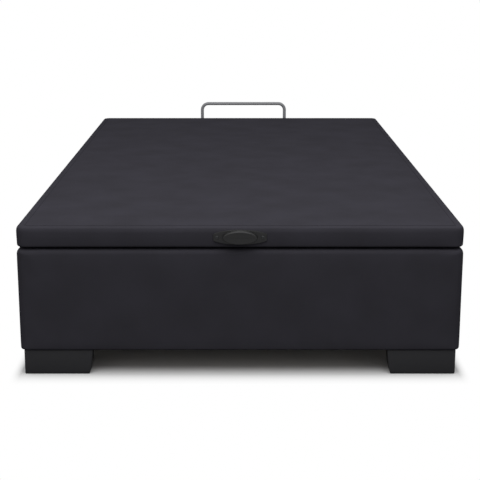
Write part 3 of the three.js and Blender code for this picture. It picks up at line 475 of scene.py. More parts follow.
def face_outwards():
    """In edit mode, turns all faces outwards."""
    bpy.ops.mesh.select_all(action="SELECT")
    bpy.ops.mesh.normals_make_consistent(inside=False)


def in_middle(at):
    return abs(at.x) + abs(at.y) < NEAR_MIDDLE


band_low, band_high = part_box("lid_band")
crest_z = band_high.z - CREST_DROP
side_low = band_low.z + sum(down for _, down in BAND_BOTTOM_SECTION) * MM
side_high = crest_z - sum(up for _, up in BAND_ROLL) * MM
band = add_plate("lid_band_upholstery", band_low, band_high, side_low, LID_CORNER)
for rise in (BELLY_HEIGHT - side_low, side_high - BELLY_HEIGHT):
    extrude(0, 0, rise)
draw_in(BAND_ROLL)
draw_in([(inward, -up) for inward, up in reversed(quarter(*SEAM_ROLL))])
bpy.ops.mesh.delete(type="FACE")
pick("verts", lambda at, normal: at.z < side_low + NEAR)
half = (band_high - band_low) / 2
bpy.ops.transform.resize(
    value=(1 - BAND_LEAN / half.x, 1 - BAND_LEAN / half.y, 1),
    center_override=(band_low + band_high) / 2,
)
pick("faces", lambda at, normal: abs(normal.z) > STRAIGHT and at.z < side_low + NEAR)
draw_in(BAND_BOTTOM_SECTION)
bpy.ops.mesh.remove_doubles(threshold=FOLD_CORNER)
pick("faces", lambda at, normal: abs(normal.z) > STRAIGHT and in_middle(at))
drawn = sum(inward for inward, _ in BAND_BOTTOM_SECTION) * MM
bpy.ops.mesh.inset(thickness=BAND_FOLD_TO - drawn)
bpy.ops.mesh.delete(type="FACE")
cut_across("x", band_low.x, band_high.x, BAND_STEP)
cut_across("y", band_low.y, band_high.y, BAND_STEP)
cut_across("z", side_low, side_high, BAND_STEP / 2)
merge_doubles(NEAR)
face_outwards()
end_edit()
stuff(
    band,
    lambda at: at.z < band_low.z + NEAR or at.z > (side_high + crest_z) / 2,
    BAND_SWELL,
)
finish_cover(band, "lid", ["lid_band"])

# Top panel: one sheet of the same cloth over a thin layer of foam, sewn to the band all round. Its
# edge rolls down into the seam, and the foam crowns it slightly.
TOP_RISE = (0.7, 3.2)  # mm, in and up out of the seam
TOP_CROWN = [(2, 0.15), (6, 0.1), (16, 0.1), (30, 0.05)]  # mm, inwards and up to the flat middle
SEAM_GAP = 0.5 * MM
TOP_STEP = 22 * MM
TOP_SWELL = 2.4 * MM

top_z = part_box("lid_top_cover")[1].z
seam_in = (sum(inward for inward, _ in BAND_ROLL) + SEAM_ROLL[0]) * MM + SEAM_GAP
top_low, top_high = band_low + Vector([seam_in] * 3), band_high - Vector([seam_in] * 3)
top_rise = (TOP_RISE[1] + sum(up for _, up in TOP_CROWN)) * MM
top_corner = LID_CORNER - seam_in
top = add_plate("lid_top_upholstery", top_low, top_high, top_z - top_rise, top_corner)
draw_in(quarter(*TOP_RISE))
bpy.ops.mesh.remove_doubles(threshold=FOLD_CORNER)
pick("faces", lambda at, normal: in_middle(at))
draw_in(TOP_CROWN)
cut_across("x", top_low.x, top_high.x, TOP_STEP)
cut_across("y", top_low.y, top_high.y, TOP_STEP)
end_edit()
stuff(top, lambda at: at.z < top_z - NEAR, TOP_SWELL)
finish_cover(top, "lid", ["lid_top_cover"])

# Foam sheet under the top panel: cut polyurethane foam, glued to the hardboard deck. It is soft
# and pale, with open cells.
FOAM_CELL = 2.5 * MM  # real cells are near 1 mm, drawn coarser so that they show
FOAM_CORNER = 36 * MM  # in plan, wider than the roll that is drawn into it
FOAM_SIDE = 1.5 * MM  # of its edge still upright, where the band draws the foam down
FOAM_ROLL_IN = 34  # mm
SMOOTH_BELOW = math.radians(42)
CELL_DEPTH = 0.5 * MM
FOAM_LIGHT, FOAM_DARK = "#d6cfbb", "#bfb7a0"

foam, tree = new_material("cut polyurethane foam")
at_object = node(tree, "TexCoord")["Object"]
cells = node(tree, "TexVoronoi", None, {"Vector": at_object, "Scale": 1 / FOAM_CELL})[0]
open_cells = node(tree, "MapRange", None, {"Value": cells, "From Max": 0.9})[0]
tone = {0: open_cells, 1: colour(FOAM_LIGHT), 2: colour(FOAM_DARK)}
tone = node(tree, "MixRGB", None, tone)[0]
bumps = node(tree, "Bump", None, {"Height": cells, "Distance": CELL_DEPTH})[0]
surface = {"Base Color": tone, "Roughness": 0.95, "Normal": bumps}
surface = node(tree, "BsdfPrincipled", None, surface)[0]
node(tree, "OutputMaterial", None, {"Surface": surface})


def smooth(piece):
    """Shades a piece smooth, but for its sharp edges."""
    make_only(piece)
    bpy.ops.object.shade_smooth_by_angle(angle=SMOOTH_BELOW)


pad_low, pad_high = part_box("lid_pad")
pad = add_plate("lid_foam", pad_low, pad_high, pad_low.z, FOAM_CORNER)
extrude(0, 0, FOAM_SIDE)
draw_in(quarter(FOAM_ROLL_IN, (pad_high.z - pad_low.z - FOAM_SIDE) / MM))
face_outwards()
end_edit()
smooth(pad)
hang(pad, "lid", ["lid_pad"], foam)

# Pull cup: one moulding in satin black ABS. A flat plate with squared ends is screwed through the
# cloth to the lid's foot end rail. The hollow oval cup on it is open underneath for the fingers.
CUP_SIDES = 96
PLATE_HALF = (70.5 * MM, 17.5 * MM)
PLATE_END = 62.5 * MM
PLATE_THICK = 3 * MM
PLATE_EDGE = 0.8 * MM
CUP_HALF = (41 * MM, 16.5 * MM)
CUP_SECTION = [  # steps inwards and outwards, mm, from the plate to the flat front
    (0.45, 0.45),
    (0.2, 3.0),
    (0.2, 3.35),
    (0.2, 1.6),
    (0.25, 1.1),
    (0.5, 0.8),
    (0.7, 0.45),
    (0.7, 0.25),
    (0.9, -0.1),
    (3, -0.2),
]
MOUTH_HALF = 31.5 * MM
MOUTH_FROM, MOUTH_TO = 0.5 * MM, 8.5 * MM
MOUTH_LOOKS_DOWN = 0.5  # share of a face's direction
CUP_WALL = 2 * MM
EDGE_STEPS = 3
TOUCHING = 0.01 * MM
RIM_SLACK = 0.001  # share of the oval
OUTLINE_FROM = 0.985
GRAIN = 1.6 * MM  # moulded grain, in truth under 0.5 mm
GRAIN_DEPTH = 0.05 * MM
CUP_DARK, CUP_LIGHT = "#141415", "#171718"

# The moulded ABS looks near black and even, with one soft highlight along the rim.
handle_plastic, tree = new_material("satin moulded ABS")
at_object = node(tree, "TexCoord")["Object"]
grain = node(tree, "TexNoise", None, {"Vector": at_object, "Scale": 1 / GRAIN, "Detail": 3})[0]
share = node(tree, "MapRange", None, {"Value": grain, **NOISE_SPAN})[0]
tone = node(tree, "MixRGB", None, {0: share, 1: colour(CUP_DARK), 2: colour(CUP_LIGHT)})[0]
bumps = node(tree, "Bump", None, {"Height": grain, "Distance": GRAIN_DEPTH})[0]
surface = {"Base Color": tone, "Roughness": 0.42, "Specular IOR Level": 0.25, "Normal": bumps}
surface = node(tree, "BsdfPrincipled", None, surface)[0]
node(tree, "OutputMaterial", None, {"Surface": surface})

cup_low, cup_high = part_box("handle")
cup_z = (cup_low.z + cup_high.z) / 2
plate_y = cup_high.y - PLATE_THICK
bpy.ops.object.select_all(action="DESELECT")
ovals = []
for half in (PLATE_HALF, CUP_HALF):
    bpy.ops.mesh.primitive_circle_add(vertices=CUP_SIDES, radius=1)
    oval = bpy.context.object
    stand = Matrix.Rotation(math.pi / 2, 4, "X")
    size = Matrix.Diagonal((half[0], half[1], 1, 1))
    oval.data.transform(Matrix.Translation((0, plate_y, cup_z)) @ stand @ size)
    ovals.append(oval)
for oval in ovals:
    oval.select_set(True)
bpy.ops.object.join()
cup = bpy.context.object
cup.name = "pull_cup"
start_edit()
for side in (-1, 1):
    pick("verts", lambda at, normal: at.x * side > PLATE_END)
    bpy.ops.transform.resize(value=(0, 1, 1), center_override=(side * PLATE_END, 0, 0))
bpy.ops.mesh.select_mode(type="EDGE")
bpy.ops.mesh.select_all(action="SELECT")
bpy.ops.mesh.bridge_edge_loops()


def share_of(half, at):
    """How far out a place lies, as a share of an oval round the cup's middle."""
    return math.hypot(at.x / half[0], (at.z - cup_z) / half[1])


pick("edges", lambda at, line: share_of(CUP_HALF, at) < 1 + RIM_SLACK)
bpy.ops.mesh.edge_face_add()
bpy.ops.mesh.select_mode(type="EDGE")
bpy.ops.mesh.select_all(action="DESELECT")
bpy.ops.mesh.select_non_manifold(
    use_wire=False, use_boundary=True, use_multi_face=False, use_non_contiguous=False
)
bpy.ops.mesh.extrude_edges_move(TRANSFORM_OT_translate={"value": (0, PLATE_THICK, 0)})
face_outwards()


def on_outline(at):
    outermost = abs(at.x) > PLATE_END - NEAR or share_of(PLATE_HALF, at) > OUTLINE_FROM
    return abs(at.y - plate_y) < TOUCHING and outermost


pick("edges", lambda at, line: on_outline(at))
bpy.ops.mesh.bevel(offset=PLATE_EDGE, segments=EDGE_STEPS)
pick("faces", lambda at, normal: abs(at.x) < NEAR and abs(at.z - cup_z) < NEAR)
draw_in(CUP_SECTION)
pick(
    "faces",
    lambda at, normal: normal.z < -MOUTH_LOOKS_DOWN
    and abs(at.x) < MOUTH_HALF
    and MOUTH_FROM < plate_y - at.y < MOUTH_TO,
)
bpy.ops.mesh.delete(type="FACE")
end_edit()
apply_modifier(cup, "SOLIDIFY", thickness=CUP_WALL, offset=-1)
smooth(cup)
hang(cup, "lid", ["handle"], handle_plastic)

# Mattress bar: a 12 mm steel rod bent to a wide U and powder coated in a plain grey. It keeps the
# mattress from sliding off the lid as it rises. Its legs go down behind the lid's head end.
BAR_RADIUS = 6 * MM
BAR_BEND = 24 * MM
BAR_SIDES = 32
BEND_STEPS = 12
BAR_END_EDGE = 0.8 * MM
BAR_EDGE_STEPS = 2
POWDER = 3 * MM  # orange peel of the coat, in truth near 1 mm
POWDER_DEPTH = 0.05 * MM
COAT_DARK, COAT_LIGHT = "#7a7b7e", "#7e7f82"

# The powder coat gives an even mid grey with a soft, broad highlight.
grey_coat, tree = new_material("grey powder coated steel")
at_object = node(tree, "TexCoord")["Object"]
powder = node(tree, "TexNoise", None, {"Vector": at_object, "Scale": 1 / POWDER, "Detail": 2})[0]
share = node(tree, "MapRange", None, {"Value": powder, **NOISE_SPAN})[0]
tone = node(tree, "MixRGB", None, {0: share, 1: colour(COAT_DARK), 2: colour(COAT_LIGHT)})[0]
bumps = node(tree, "Bump", None, {"Height": powder, "Distance": POWDER_DEPTH})[0]
surface = {"Base Color": tone, "Roughness": 0.45, "Normal": bumps}
surface = node(tree, "BsdfPrincipled", None, surface)[0]
node(tree, "OutputMaterial", None, {"Surface": surface})

bar_low, bar_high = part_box("mattress_bar")
left_x, right_x = bar_low.x + BAR_RADIUS, bar_high.x - BAR_RADIUS
bar_y = (bar_low.y + bar_high.y) / 2
bend_z = bar_high.z - BAR_RADIUS - BAR_BEND
bpy.ops.object.select_all(action="DESELECT")
bpy.ops.mesh.primitive_circle_add(vertices=BAR_SIDES, radius=BAR_RADIUS, fill_type="NGON")
bar = bpy.context.object
bar.name = "mattress_bar_rod"
bar.data.transform(Matrix.Translation((left_x, bar_y, bar_low.z)))
start_edit()
bpy.ops.mesh.select_all(action="SELECT")
for move, centre_x in (
    ((0, 0, bend_z - bar_low.z), left_x + BAR_BEND),
    ((right_x - left_x - 2 * BAR_BEND, 0, 0), right_x - BAR_BEND),
):
    extrude(*move)
    bpy.ops.mesh.spin(
        steps=BEND_STEPS,
        angle=-math.pi / 2,
        center=(centre_x, bar_y, bend_z),
        axis=(0, 1, 0),
    )
extrude(0, 0, bar_low.z - bend_z)
merge_doubles(TOUCHING)
face_outwards()
pick("edges", lambda at, line: abs(at.z - bar_low.z) < NEAR)
bpy.ops.mesh.bevel(offset=BAR_END_EDGE, segments=BAR_EDGE_STEPS)
end_edit()
smooth(bar)
hang(bar, "lid", ["mattress_bar"], grey_coat)


# Feet: four corner feet moulded in black polypropylene, each with one wing along the end and one
# along the side, screwed up into the box through a gusset between the wings.
FOOT_EDGE = 0.8 * MM
SOLE_ROLL = 3 * MM
SOLE_STEPS = 3
ROUND_STEPS = 2
FLAT_BELOW = math.radians(1)
SPARK = 2.2 * MM  # spark-eroded texture of the mould, in truth near 0.3 mm
SPARK_DEPTH = 0.08 * MM
FOOT_DARK, FOOT_LIGHT = "#272729", "#2b2b2d"
SIDES = ("left", "right")
CORNERS = [f"{end}_{side}" for end in ("front", "rear") for side in SIDES]


def copy_of(name):
    """A copy of a CAD piece with its facets merged into whole faces."""
    piece = bpy.data.objects.new(name + "_finished", bpy.data.objects[name].data.copy())
    bpy.context.collection.objects.link(piece)
    make_only(piece)
    start_edit()
    merge_doubles(TOUCHING)
    bpy.ops.mesh.dissolve_limited(angle_limit=FLAT_BELOW)
    end_edit()
    return piece


def round_off(piece, edge):
    """Rounds every sharp edge of a piece."""
    sharp = {"limit_method": "ANGLE", "angle_limit": SMOOTH_BELOW}
    apply_modifier(piece, "BEVEL", width=edge, segments=ROUND_STEPS, **sharp)
    smooth(piece)


# The moulded polypropylene looks flat and near black, with next to no highlight.
foot_plastic, tree = new_material("textured moulded polypropylene")
at_object = node(tree, "TexCoord")["Object"]
spark = node(tree, "TexNoise", None, {"Vector": at_object, "Scale": 1 / SPARK, "Detail": 4})[0]
share = node(tree, "MapRange", None, {"Value": spark, **NOISE_SPAN})[0]
tone = node(tree, "MixRGB", None, {0: share, 1: colour(FOOT_DARK), 2: colour(FOOT_LIGHT)})[0]
bumps = node(tree, "Bump", None, {"Height": spark, "Distance": SPARK_DEPTH})[0]
surface = {"Base Color": tone, "Roughness": 0.6, "Specular IOR Level": 0.1, "Normal": bumps}
surface = node(tree, "BsdfPrincipled", None, surface)[0]
node(tree, "OutputMaterial", None, {"Surface": surface})

for corner in CORNERS:
    name = f"foot_{corner}"
    piece = copy_of(name)
    start_edit()
    pick("edges", lambda at, line: at.z < NEAR)
    bpy.ops.mesh.bevel(offset=SOLE_ROLL, segments=SOLE_STEPS)
    end_edit()
    round_off(piece, FOOT_EDGE)
    hang(piece, "base", [name], foot_plastic)


# Box walls: 16 mm raw chipboard, pressed from glued softwood chips. Only its inner faces show, pale
# brown with darker flakes.
FLAKE = 5 * MM
FLAKE_SHARPNESS = 0.6
GRIT = 2 * MM
GRIT_DEPTH = 0.15 * MM
CHIP_DARK, CHIP_LIGHT = "#a08a68", "#cdb792"


def assign(names, material):
    """Gives CAD pieces that stay as they are their material."""
    for name in names:
        for place in bpy.data.objects[name].material_slots:
            place.material = material


chipboard, tree = new_material("raw chipboard")
at_object = node(tree, "TexCoord")["Object"]
flakes = node(
    tree,
    "TexVoronoi",
    {"distance": "MINKOWSKI"},
    {"Vector": at_object, "Scale": 1 / FLAKE, "Exponent": FLAKE_SHARPNESS},
)
grit = node(tree, "TexNoise", None, {"Vector": at_object, "Scale": 1 / GRIT, "Detail": 3})[0]
flake_tone = node(tree, "SeparateColor", None, {0: flakes["Color"]})[0]
share = node(tree, "Math", {"operation": "MULTIPLY"}, {0: flake_tone, 1: grit})[0]
share = node(tree, "MapRange", None, {"Value": share, "From Max": 0.55})[0]
tone = node(tree, "MixRGB", None, {0: share, 1: colour(CHIP_DARK), 2: colour(CHIP_LIGHT)})[0]
bumps = node(tree, "Bump", None, {"Height": grit, "Distance": GRIT_DEPTH})[0]
surface = {"Base Color": tone, "Roughness": 0.8, "Normal": bumps}
surface = node(tree, "BsdfPrincipled", None, surface)[0]
node(tree, "OutputMaterial", None, {"Surface": surface})
assign([wall + "_board" for wall in WALLS], chipboard)


# Softwood: planed spruce for the battens, the rails of the floor and of the lid. Pale yellow, with
# brown late wood in lines and long ovals along the length.
GRAIN_WIDTH = 3 * MM
GRAIN_LENGTH = 160 * MM
FIBRE_RELIEF = 0.08 * MM
RING_COUNT = 9
RING_SCALE = 0.22
RING_WANDER = 0.4
LATE_WOOD, EARLY_WOOD = "#b08a58", "#dcc294"
RAIL_EDGE = 1.5 * MM


def dress(name, body, material, edge):
    """Puts a copy of a CAD piece with rounded edges in its place."""
    piece = copy_of(name)
    round_off(piece, edge)
    hang(piece, body, [name], material)


def softwood(length_axis):
    """Spruce with its grain along an axis."""
    made, tree = new_material("planed spruce along " + length_axis)
    stretch = [1 / (GRAIN_WIDTH if axis != length_axis else GRAIN_LENGTH) for axis in "xyz"]
    where = node(tree, "TexCoord")["Object"]
    grain_place = node(tree, "Mapping", None, {"Vector": where, "Scale": stretch})[0]
    fibre = node(tree, "TexNoise", None, {"Vector": grain_place, "Scale": 1, "Detail": 3})[0]
    rings = {"Scale": RING_SCALE, "Detail": 1, "Distortion": RING_WANDER}
    rings = node(tree, "TexNoise", None, {"Vector": grain_place, **rings})[0]
    ring_wave = node(tree, "Math", {"operation": "MULTIPLY"}, {0: rings, 1: RING_COUNT})[0]
    ring = node(tree, "Math", {"operation": "PINGPONG"}, {0: ring_wave, 1: 1})[0]
    tone = node(tree, "Math", {"operation": "MULTIPLY"}, {0: ring, 1: fibre})[0]
    share = node(tree, "MapRange", None, {"Value": tone, "From Min": 0.05, "From Max": 0.55})[0]
    tone = node(tree, "MixRGB", None, {0: share, 1: colour(LATE_WOOD), 2: colour(EARLY_WOOD)})[0]
    bumps = node(tree, "Bump", None, {"Height": fibre, "Distance": FIBRE_RELIEF})[0]
    surface = {"Base Color": tone, "Roughness": 0.62, "Normal": bumps}
    surface = node(tree, "BsdfPrincipled", None, surface)[0]
    node(tree, "OutputMaterial", None, {"Surface": surface})
    return made


spruce = {axis: softwood(axis) for axis in "xy"}
RAILS = {
    ("base", "x"): ["floor_cleat_front", "floor_cleat_rear", "floor_cross_rail"],
    ("base", "y"): ["floor_cleat_left", "floor_cleat_right"],
    ("lid", "x"): ["lid_rail_front", "lid_rail_rear"]
    + [f"lid_cross_rail_{i}" for i in (1, 2, 3)],
    ("lid", "y"): ["lid_rail_left", "lid_rail_right"],
}
for (body, axis), names in RAILS.items():
    for name in names:
        dress(name, body, spruce[axis], RAIL_EDGE)

# Floor panels and lid deck: 6 mm hardboard, brown fibre pressed smooth on top. The panels lie on
# the battens, and the deck is nailed to the lid's rails.
FIBRE = 4 * MM
FIBRE_DEPTH = 0.1 * MM
FIBRE_DARK, FIBRE_LIGHT = "#6a5a48", "#877562"

hardboard, tree = new_material("pressed hardboard")
at_object = node(tree, "TexCoord")["Object"]
fibres = node(tree, "TexNoise", None, {"Vector": at_object, "Scale": 1 / FIBRE, "Detail": 5})[0]
share = node(tree, "MapRange", None, {"Value": fibres, **NOISE_SPAN})[0]
tone = node(tree, "MixRGB", None, {0: share, 1: colour(FIBRE_DARK), 2: colour(FIBRE_LIGHT)})[0]
bumps = node(tree, "Bump", None, {"Height": fibres, "Distance": FIBRE_DEPTH})[0]
surface = {"Base Color": tone, "Roughness": 0.6, "Normal": bumps}
surface = node(tree, "BsdfPrincipled", None, surface)[0]
node(tree, "OutputMaterial", None, {"Surface": surface})
assign(["floor_panel_front", "floor_panel_rear", "lid_deck"], hardboard)

# Corner plates: 2 mm steel angles, pressed, drilled and zinc plated, screwed into the box's inner
# corners. The plating is a dull silver with a faint spangle.
SPANGLE = 5 * MM
SHEET_EDGE = 0.4 * MM
ZINC_DARK, ZINC_LIGHT = "#a4a8aa", "#bcc0c2"

zinc, tree = new_material("zinc plated steel")
at_object = node(tree, "TexCoord")["Object"]
spangle = node(tree, "TexVoronoi", None, {"Vector": at_object, "Scale": 1 / SPANGLE})["Color"]
spangle = node(tree, "SeparateColor", None, {0: spangle})[0]
tone = node(tree, "MixRGB", None, {0: spangle, 1: colour(ZINC_DARK), 2: colour(ZINC_LIGHT)})[0]
dulled = node(tree, "MapRange", None, {"Value": spangle, "To Min": 0.3, "To Max": 0.44})[0]
surface = {"Base Color": tone, "Metallic": 1, "Roughness": dulled}
surface = node(tree, "BsdfPrincipled", None, surface)[0]
node(tree, "OutputMaterial", None, {"Surface": surface})

for corner in CORNERS:
    dress(f"corner_plate_{corner}", "base", zinc, SHEET_EDGE)

# Hinges: three steel butt hinges, zinc plated, screwed flat to the top of the head end wall and to
# the underside of the lid. Five knuckles turn on a riveted pin.
HINGES = ("left", "middle", "right")
LEAF_EDGE = 0.2 * MM

for name in HINGES:
    dress(f"hinge_wall_leaf_{name}", "base", zinc, LEAF_EDGE)
    dress(f"hinge_lid_leaf_{name}", "lid", zinc, LEAF_EDGE)
    dress(f"hinge_pin_{name}", "base", zinc, LEAF_EDGE)

# Straps: two pieces of 2 mm zinc plated sheet, pressed round the legs of the mattress bar and
# screwed through the band to the lid's head end rail.
for side in SIDES:
    dress(f"bar_strap_{side}", "lid", zinc, SHEET_EDGE)

# Strut brackets: 3 mm steel plates painted satin black, with a pin that the strut's eye turns on.
# One is screwed to the side board, the other under the lid's side rail.
PAINT_RIPPLE = 5 * MM
RIPPLE_DEPTH = 0.06 * MM
PAINT_DARK, PAINT_LIGHT = "#1b1c1e", "#212225"

# The paint is black and slightly rippled, so that its highlight wavers.
black_steel, tree = new_material("satin black painted steel")
at_object = node(tree, "TexCoord")["Object"]
ripple = node(tree, "TexNoise", None, {"Vector": at_object, "Scale": 1 / PAINT_RIPPLE})[0]
share = node(tree, "MapRange", None, {"Value": ripple, **NOISE_SPAN})[0]
tone = node(tree, "MixRGB", None, {0: share, 1: colour(PAINT_DARK), 2: colour(PAINT_LIGHT)})[0]
bumps = node(tree, "Bump", None, {"Height": ripple, "Distance": RIPPLE_DEPTH})[0]
surface = {"Base Color": tone, "Roughness": 0.45, "Specular IOR Level": 0.3, "Normal": bumps}
surface = node(tree, "BsdfPrincipled", None, surface)[0]
node(tree, "OutputMaterial", None, {"Surface": surface})

for side in SIDES:
    dress(f"strut_wall_bracket_{side}", "base", black_steel, SHEET_EDGE)
    dress(f"strut_lid_bracket_{side}", "lid", black_steel, SHEET_EDGE)

# Gas struts: a black painted steel tube, crimped at its open end, and a chromed rod that slides out
# of it as the lid rises. A flat eye is welded on each far end.
SMUDGE = 60 * MM
CHROME_TONE = "#dcdee0"
TURNED_SIDES = 32

# The chrome is a clear mirror that handling has dulled here and there.
chrome, tree = new_material("bright chromed steel")
at_object = node(tree, "TexCoord")["Object"]
smudge = node(tree, "TexNoise", None, {"Vector": at_object, "Scale": 1 / SMUDGE, "Detail": 4})[0]
dulled = {"Value": smudge, "From Min": 0.35, "From Max": 0.75, "To Min": 0.05, "To Max": 0.16}
dulled = node(tree, "MapRange", None, dulled)[0]
surface = {"Base Color": colour(CHROME_TONE), "Metallic": 1, "Roughness": dulled}
surface = node(tree, "BsdfPrincipled", None, surface)[0]
node(tree, "OutputMaterial", None, {"Surface": surface})


def turn(name, section, sides=TURNED_SIDES, ring=False):
    """A piece turned about the Z axis from (radius, height) steps in millimetres. A ring's section
    closes on itself, and any other piece is closed flat at both ends."""
    bpy.ops.object.select_all(action="DESELECT")
    bpy.ops.mesh.primitive_circle_add(
        vertices=sides, radius=section[0][0] * MM, fill_type="NOTHING" if ring else "NGON"
    )
    made = bpy.context.object
    made.name = name
    made.data.transform(Matrix.Translation((0, 0, section[0][1] * MM)))
    start_edit()
    bpy.ops.mesh.select_all(action="SELECT")
    for (radius, z), (next_radius, next_z) in zip(section, section[1:] + section[:1] * ring):
        rise = (next_z - z) * MM
        if ring:
            bpy.ops.mesh.extrude_edges_move(TRANSFORM_OT_translate={"value": (0, 0, rise)})
        else:
            extrude(0, 0, rise)
        share = next_radius / radius
        bpy.ops.transform.resize(value=(share, share, 1), center_override=(0, 0, next_z * MM))
    merge_doubles(TOUCHING)
    face_outwards()
    end_edit()
    return made


def join(pieces):
    """Joins pieces into the first of them."""
    bpy.ops.object.select_all(action="DESELECT")
    for piece in pieces:
        piece.select_set(True)
    bpy.context.view_layer.objects.active = pieces[0]
    bpy.ops.object.join()
    return bpy.context.object


def pivot(joint_name):
    """The place of a joint in the frame, with the lid closed."""
    joints = frame["record"]["behaviour"]["joints"]
    return next(Vector(j["pos_m"]) for j in joints if j["name"] == joint_name)


TUBE_END = 183.04  # mm, from the tube's foot pin
CRIMP = 8  # mm, length of the closed end that guides the rod
TUBE_SECTION = [  # radius and height, mm, from the foot pin up and back down inside the tube
    (5, 6),
    (5, 9.5),
    (7.2, 11),
    (8.5, 11.8),
    (9, 13.2),
    (9, 168),
    (8.2, 169.4),
    (8.2, 171),
    (9, 172.4),
    (9, TUBE_END - 1.6),
    (8.5, TUBE_END - 0.4),
    (7.4, TUBE_END),
    (4.5, TUBE_END),
    (4.5, TUBE_END - CRIMP),
    (7, TUBE_END - CRIMP),
    (7, 15),
]
ROD_SECTION = [  # radius and height, mm, from the piston up to the eye, with the lid closed
    (6.4, 17.04),
    (6.4, 27.04),
    (4, 27.04),
    (4, 194),
    (5.4, 194.6),
    (5.4, 199),
]
EYE_SECTION = [  # radius and distance from the eye's middle, mm
    (4.5, -4.4),
    (5.1, -5),
    (8.4, -5),
    (9, -4.4),
    (9, 4.4),
    (8.4, 5),
    (5.1, 5),
    (4.5, 4.4),
]
for side in SIDES:
    foot = pivot(f"strut_tube_{side}_pivot")
    head = pivot(f"strut_rod_{side}_pivot")
    lean = (head - foot).to_track_quat("Z", "X").to_matrix().to_4x4()
    upright = Matrix.Translation(foot) @ lean
    for part, eye_at, section, slot, material in (
        ("tube", foot, TUBE_SECTION, "black_steel", black_steel),
        ("rod", head, ROD_SECTION, "chromed_steel", chrome),
    ):
        shaft = turn(f"gas_strut_{part}_{side}", section)
        shaft.data.transform(upright)
        eye = turn("eye", EYE_SECTION, ring=True)
        eye.data.transform(Matrix.Translation(eye_at) @ Matrix.Rotation(math.pi / 2, 4, "Y"))
        piece = join([shaft, eye])
        smooth(piece)
        hang(piece, f"strut_{part}_{side}", [f"strut_{part}_{side}"], material)

# Buffers: two soft black rubber studs, pressed into the top edge of the side walls near the foot
# end, for the lid to close on. The rubber is dull, with a faint grey bloom.
BUFFER_SECTION = [(6, 0), (6, 2.2), (5.6, 2.9), (4.6, 3.3), (2, 3.4)]
RUBBER_GRAIN = 2 * MM
RUBBER_DEPTH = 0.05 * MM
RUBBER_DARK, RUBBER_LIGHT = "#141414", "#1c1c1c"

rubber, tree = new_material("black rubber")
at_object = node(tree, "TexCoord")["Object"]
bloom = node(tree, "TexNoise", None, {"Vector": at_object, "Scale": 1 / RUBBER_GRAIN})[0]
tone = node(tree, "MixRGB", None, {0: bloom, 1: colour(RUBBER_DARK), 2: colour(RUBBER_LIGHT)})[0]
bumps = node(tree, "Bump", None, {"Height": bloom, "Distance": RUBBER_DEPTH})[0]
surface = {"Base Color": tone, "Roughness": 0.85, "Normal": bumps}
surface = node(tree, "BsdfPrincipled", None, surface)[0]
node(tree, "OutputMaterial", None, {"Surface": surface})

for side in SIDES:
    low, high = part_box(f"lid_buffer_{side}")
    stud = turn(f"lid_buffer_stud_{side}", BUFFER_SECTION)
    middle = (low + high) / 2
    stud.data.transform(Matrix.Translation((middle.x, middle.y, low.z)))
    smooth(stud)
    hang(stud, "base", [f"lid_buffer_{side}"], rubber)

# Screws: pan head wood screws with a cross recess, and countersunk ones in the hinges. They are
# pressed from steel and zinc plated, or black on the pull cup and the struts.
PAN_HEAD = [(2, -3), (2, 0), (3.75, 0), (4, 0.3), (4, 1.1), (3.6, 1.8), (2.6, 2.25), (1.2, 2.4)]
SUNK_HEAD = [(2, -1.2), (3.25, -0.12), (3.25, -0.02), (2.9, 0.04)]
SCREW_SIDES = 20
RECESS_LONG = 3.8 * MM
RECESS_WIDE = 0.8 * MM
RECESS_DEEP = 1.3 * MM


def screw_head(name, section):
    """One screw head at the origin that looks up, with a cross recess in its crown."""
    head = turn(name, section, sides=SCREW_SIDES)
    crown = section[-1][1] * MM
    arms = [
        add_block("arm", (-a / 2, -b / 2, crown - RECESS_DEEP), (a / 2, b / 2, crown + MM))
        for a, b in ((RECESS_LONG, RECESS_WIDE), (RECESS_WIDE, RECESS_LONG))
    ]
    for arm in arms:
        apply_modifier(head, "BOOLEAN", object=arm, operation="DIFFERENCE")
        bpy.data.objects.remove(arm)
    return head


def fasten(name, body, material, pattern, seats, nodes=()):
    """Copies a fastener to its seats, each a place and the way that its head looks."""
    copies = []
    for at, direction in seats:
        copy = bpy.data.objects.new(name, pattern.data.copy())
        bpy.context.collection.objects.link(copy)
        turned = Vector(direction).to_track_quat("Z", "Y").to_matrix().to_4x4()
        copy.data.transform(Matrix.Translation(at) @ turned)
        copies.append(copy)
    piece = join(copies)
    smooth(piece)
    hang(piece, body, nodes, material)


def side_of(name):
    """The way from the bed's middle to a left or right piece, along x."""
    return -1 if "left" in name else 1


def end_of(name):
    """The way from the bed's middle to a front or rear piece, along y."""
    return -1 if "front" in name else 1


def in_from_corner(name, in_x, in_y, z):
    """A place that far in from the outer corner of a corner piece."""
    low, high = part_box(name)
    sx, sy = side_of(name), end_of(name)
    corner_x = high.x if sx > 0 else low.x
    corner_y = high.y if sy > 0 else low.y
    return Vector((corner_x - sx * in_x, corner_y - sy * in_y, z))


pan_head = screw_head("pan_head", PAN_HEAD)
sunk_head = screw_head("sunk_head", SUNK_HEAD)

CUP_SCREW_X = 53.5 * MM
for side in SIDES:
    seats = [(Vector((side_of(side) * CUP_SCREW_X, plate_y, cup_z)), (0, -1, 0))]
    name, nodes = f"pull_cup_screw_{side}", [f"handle_screw_{side}"]
    fasten(name, "lid", black_steel, pan_head, seats, nodes)

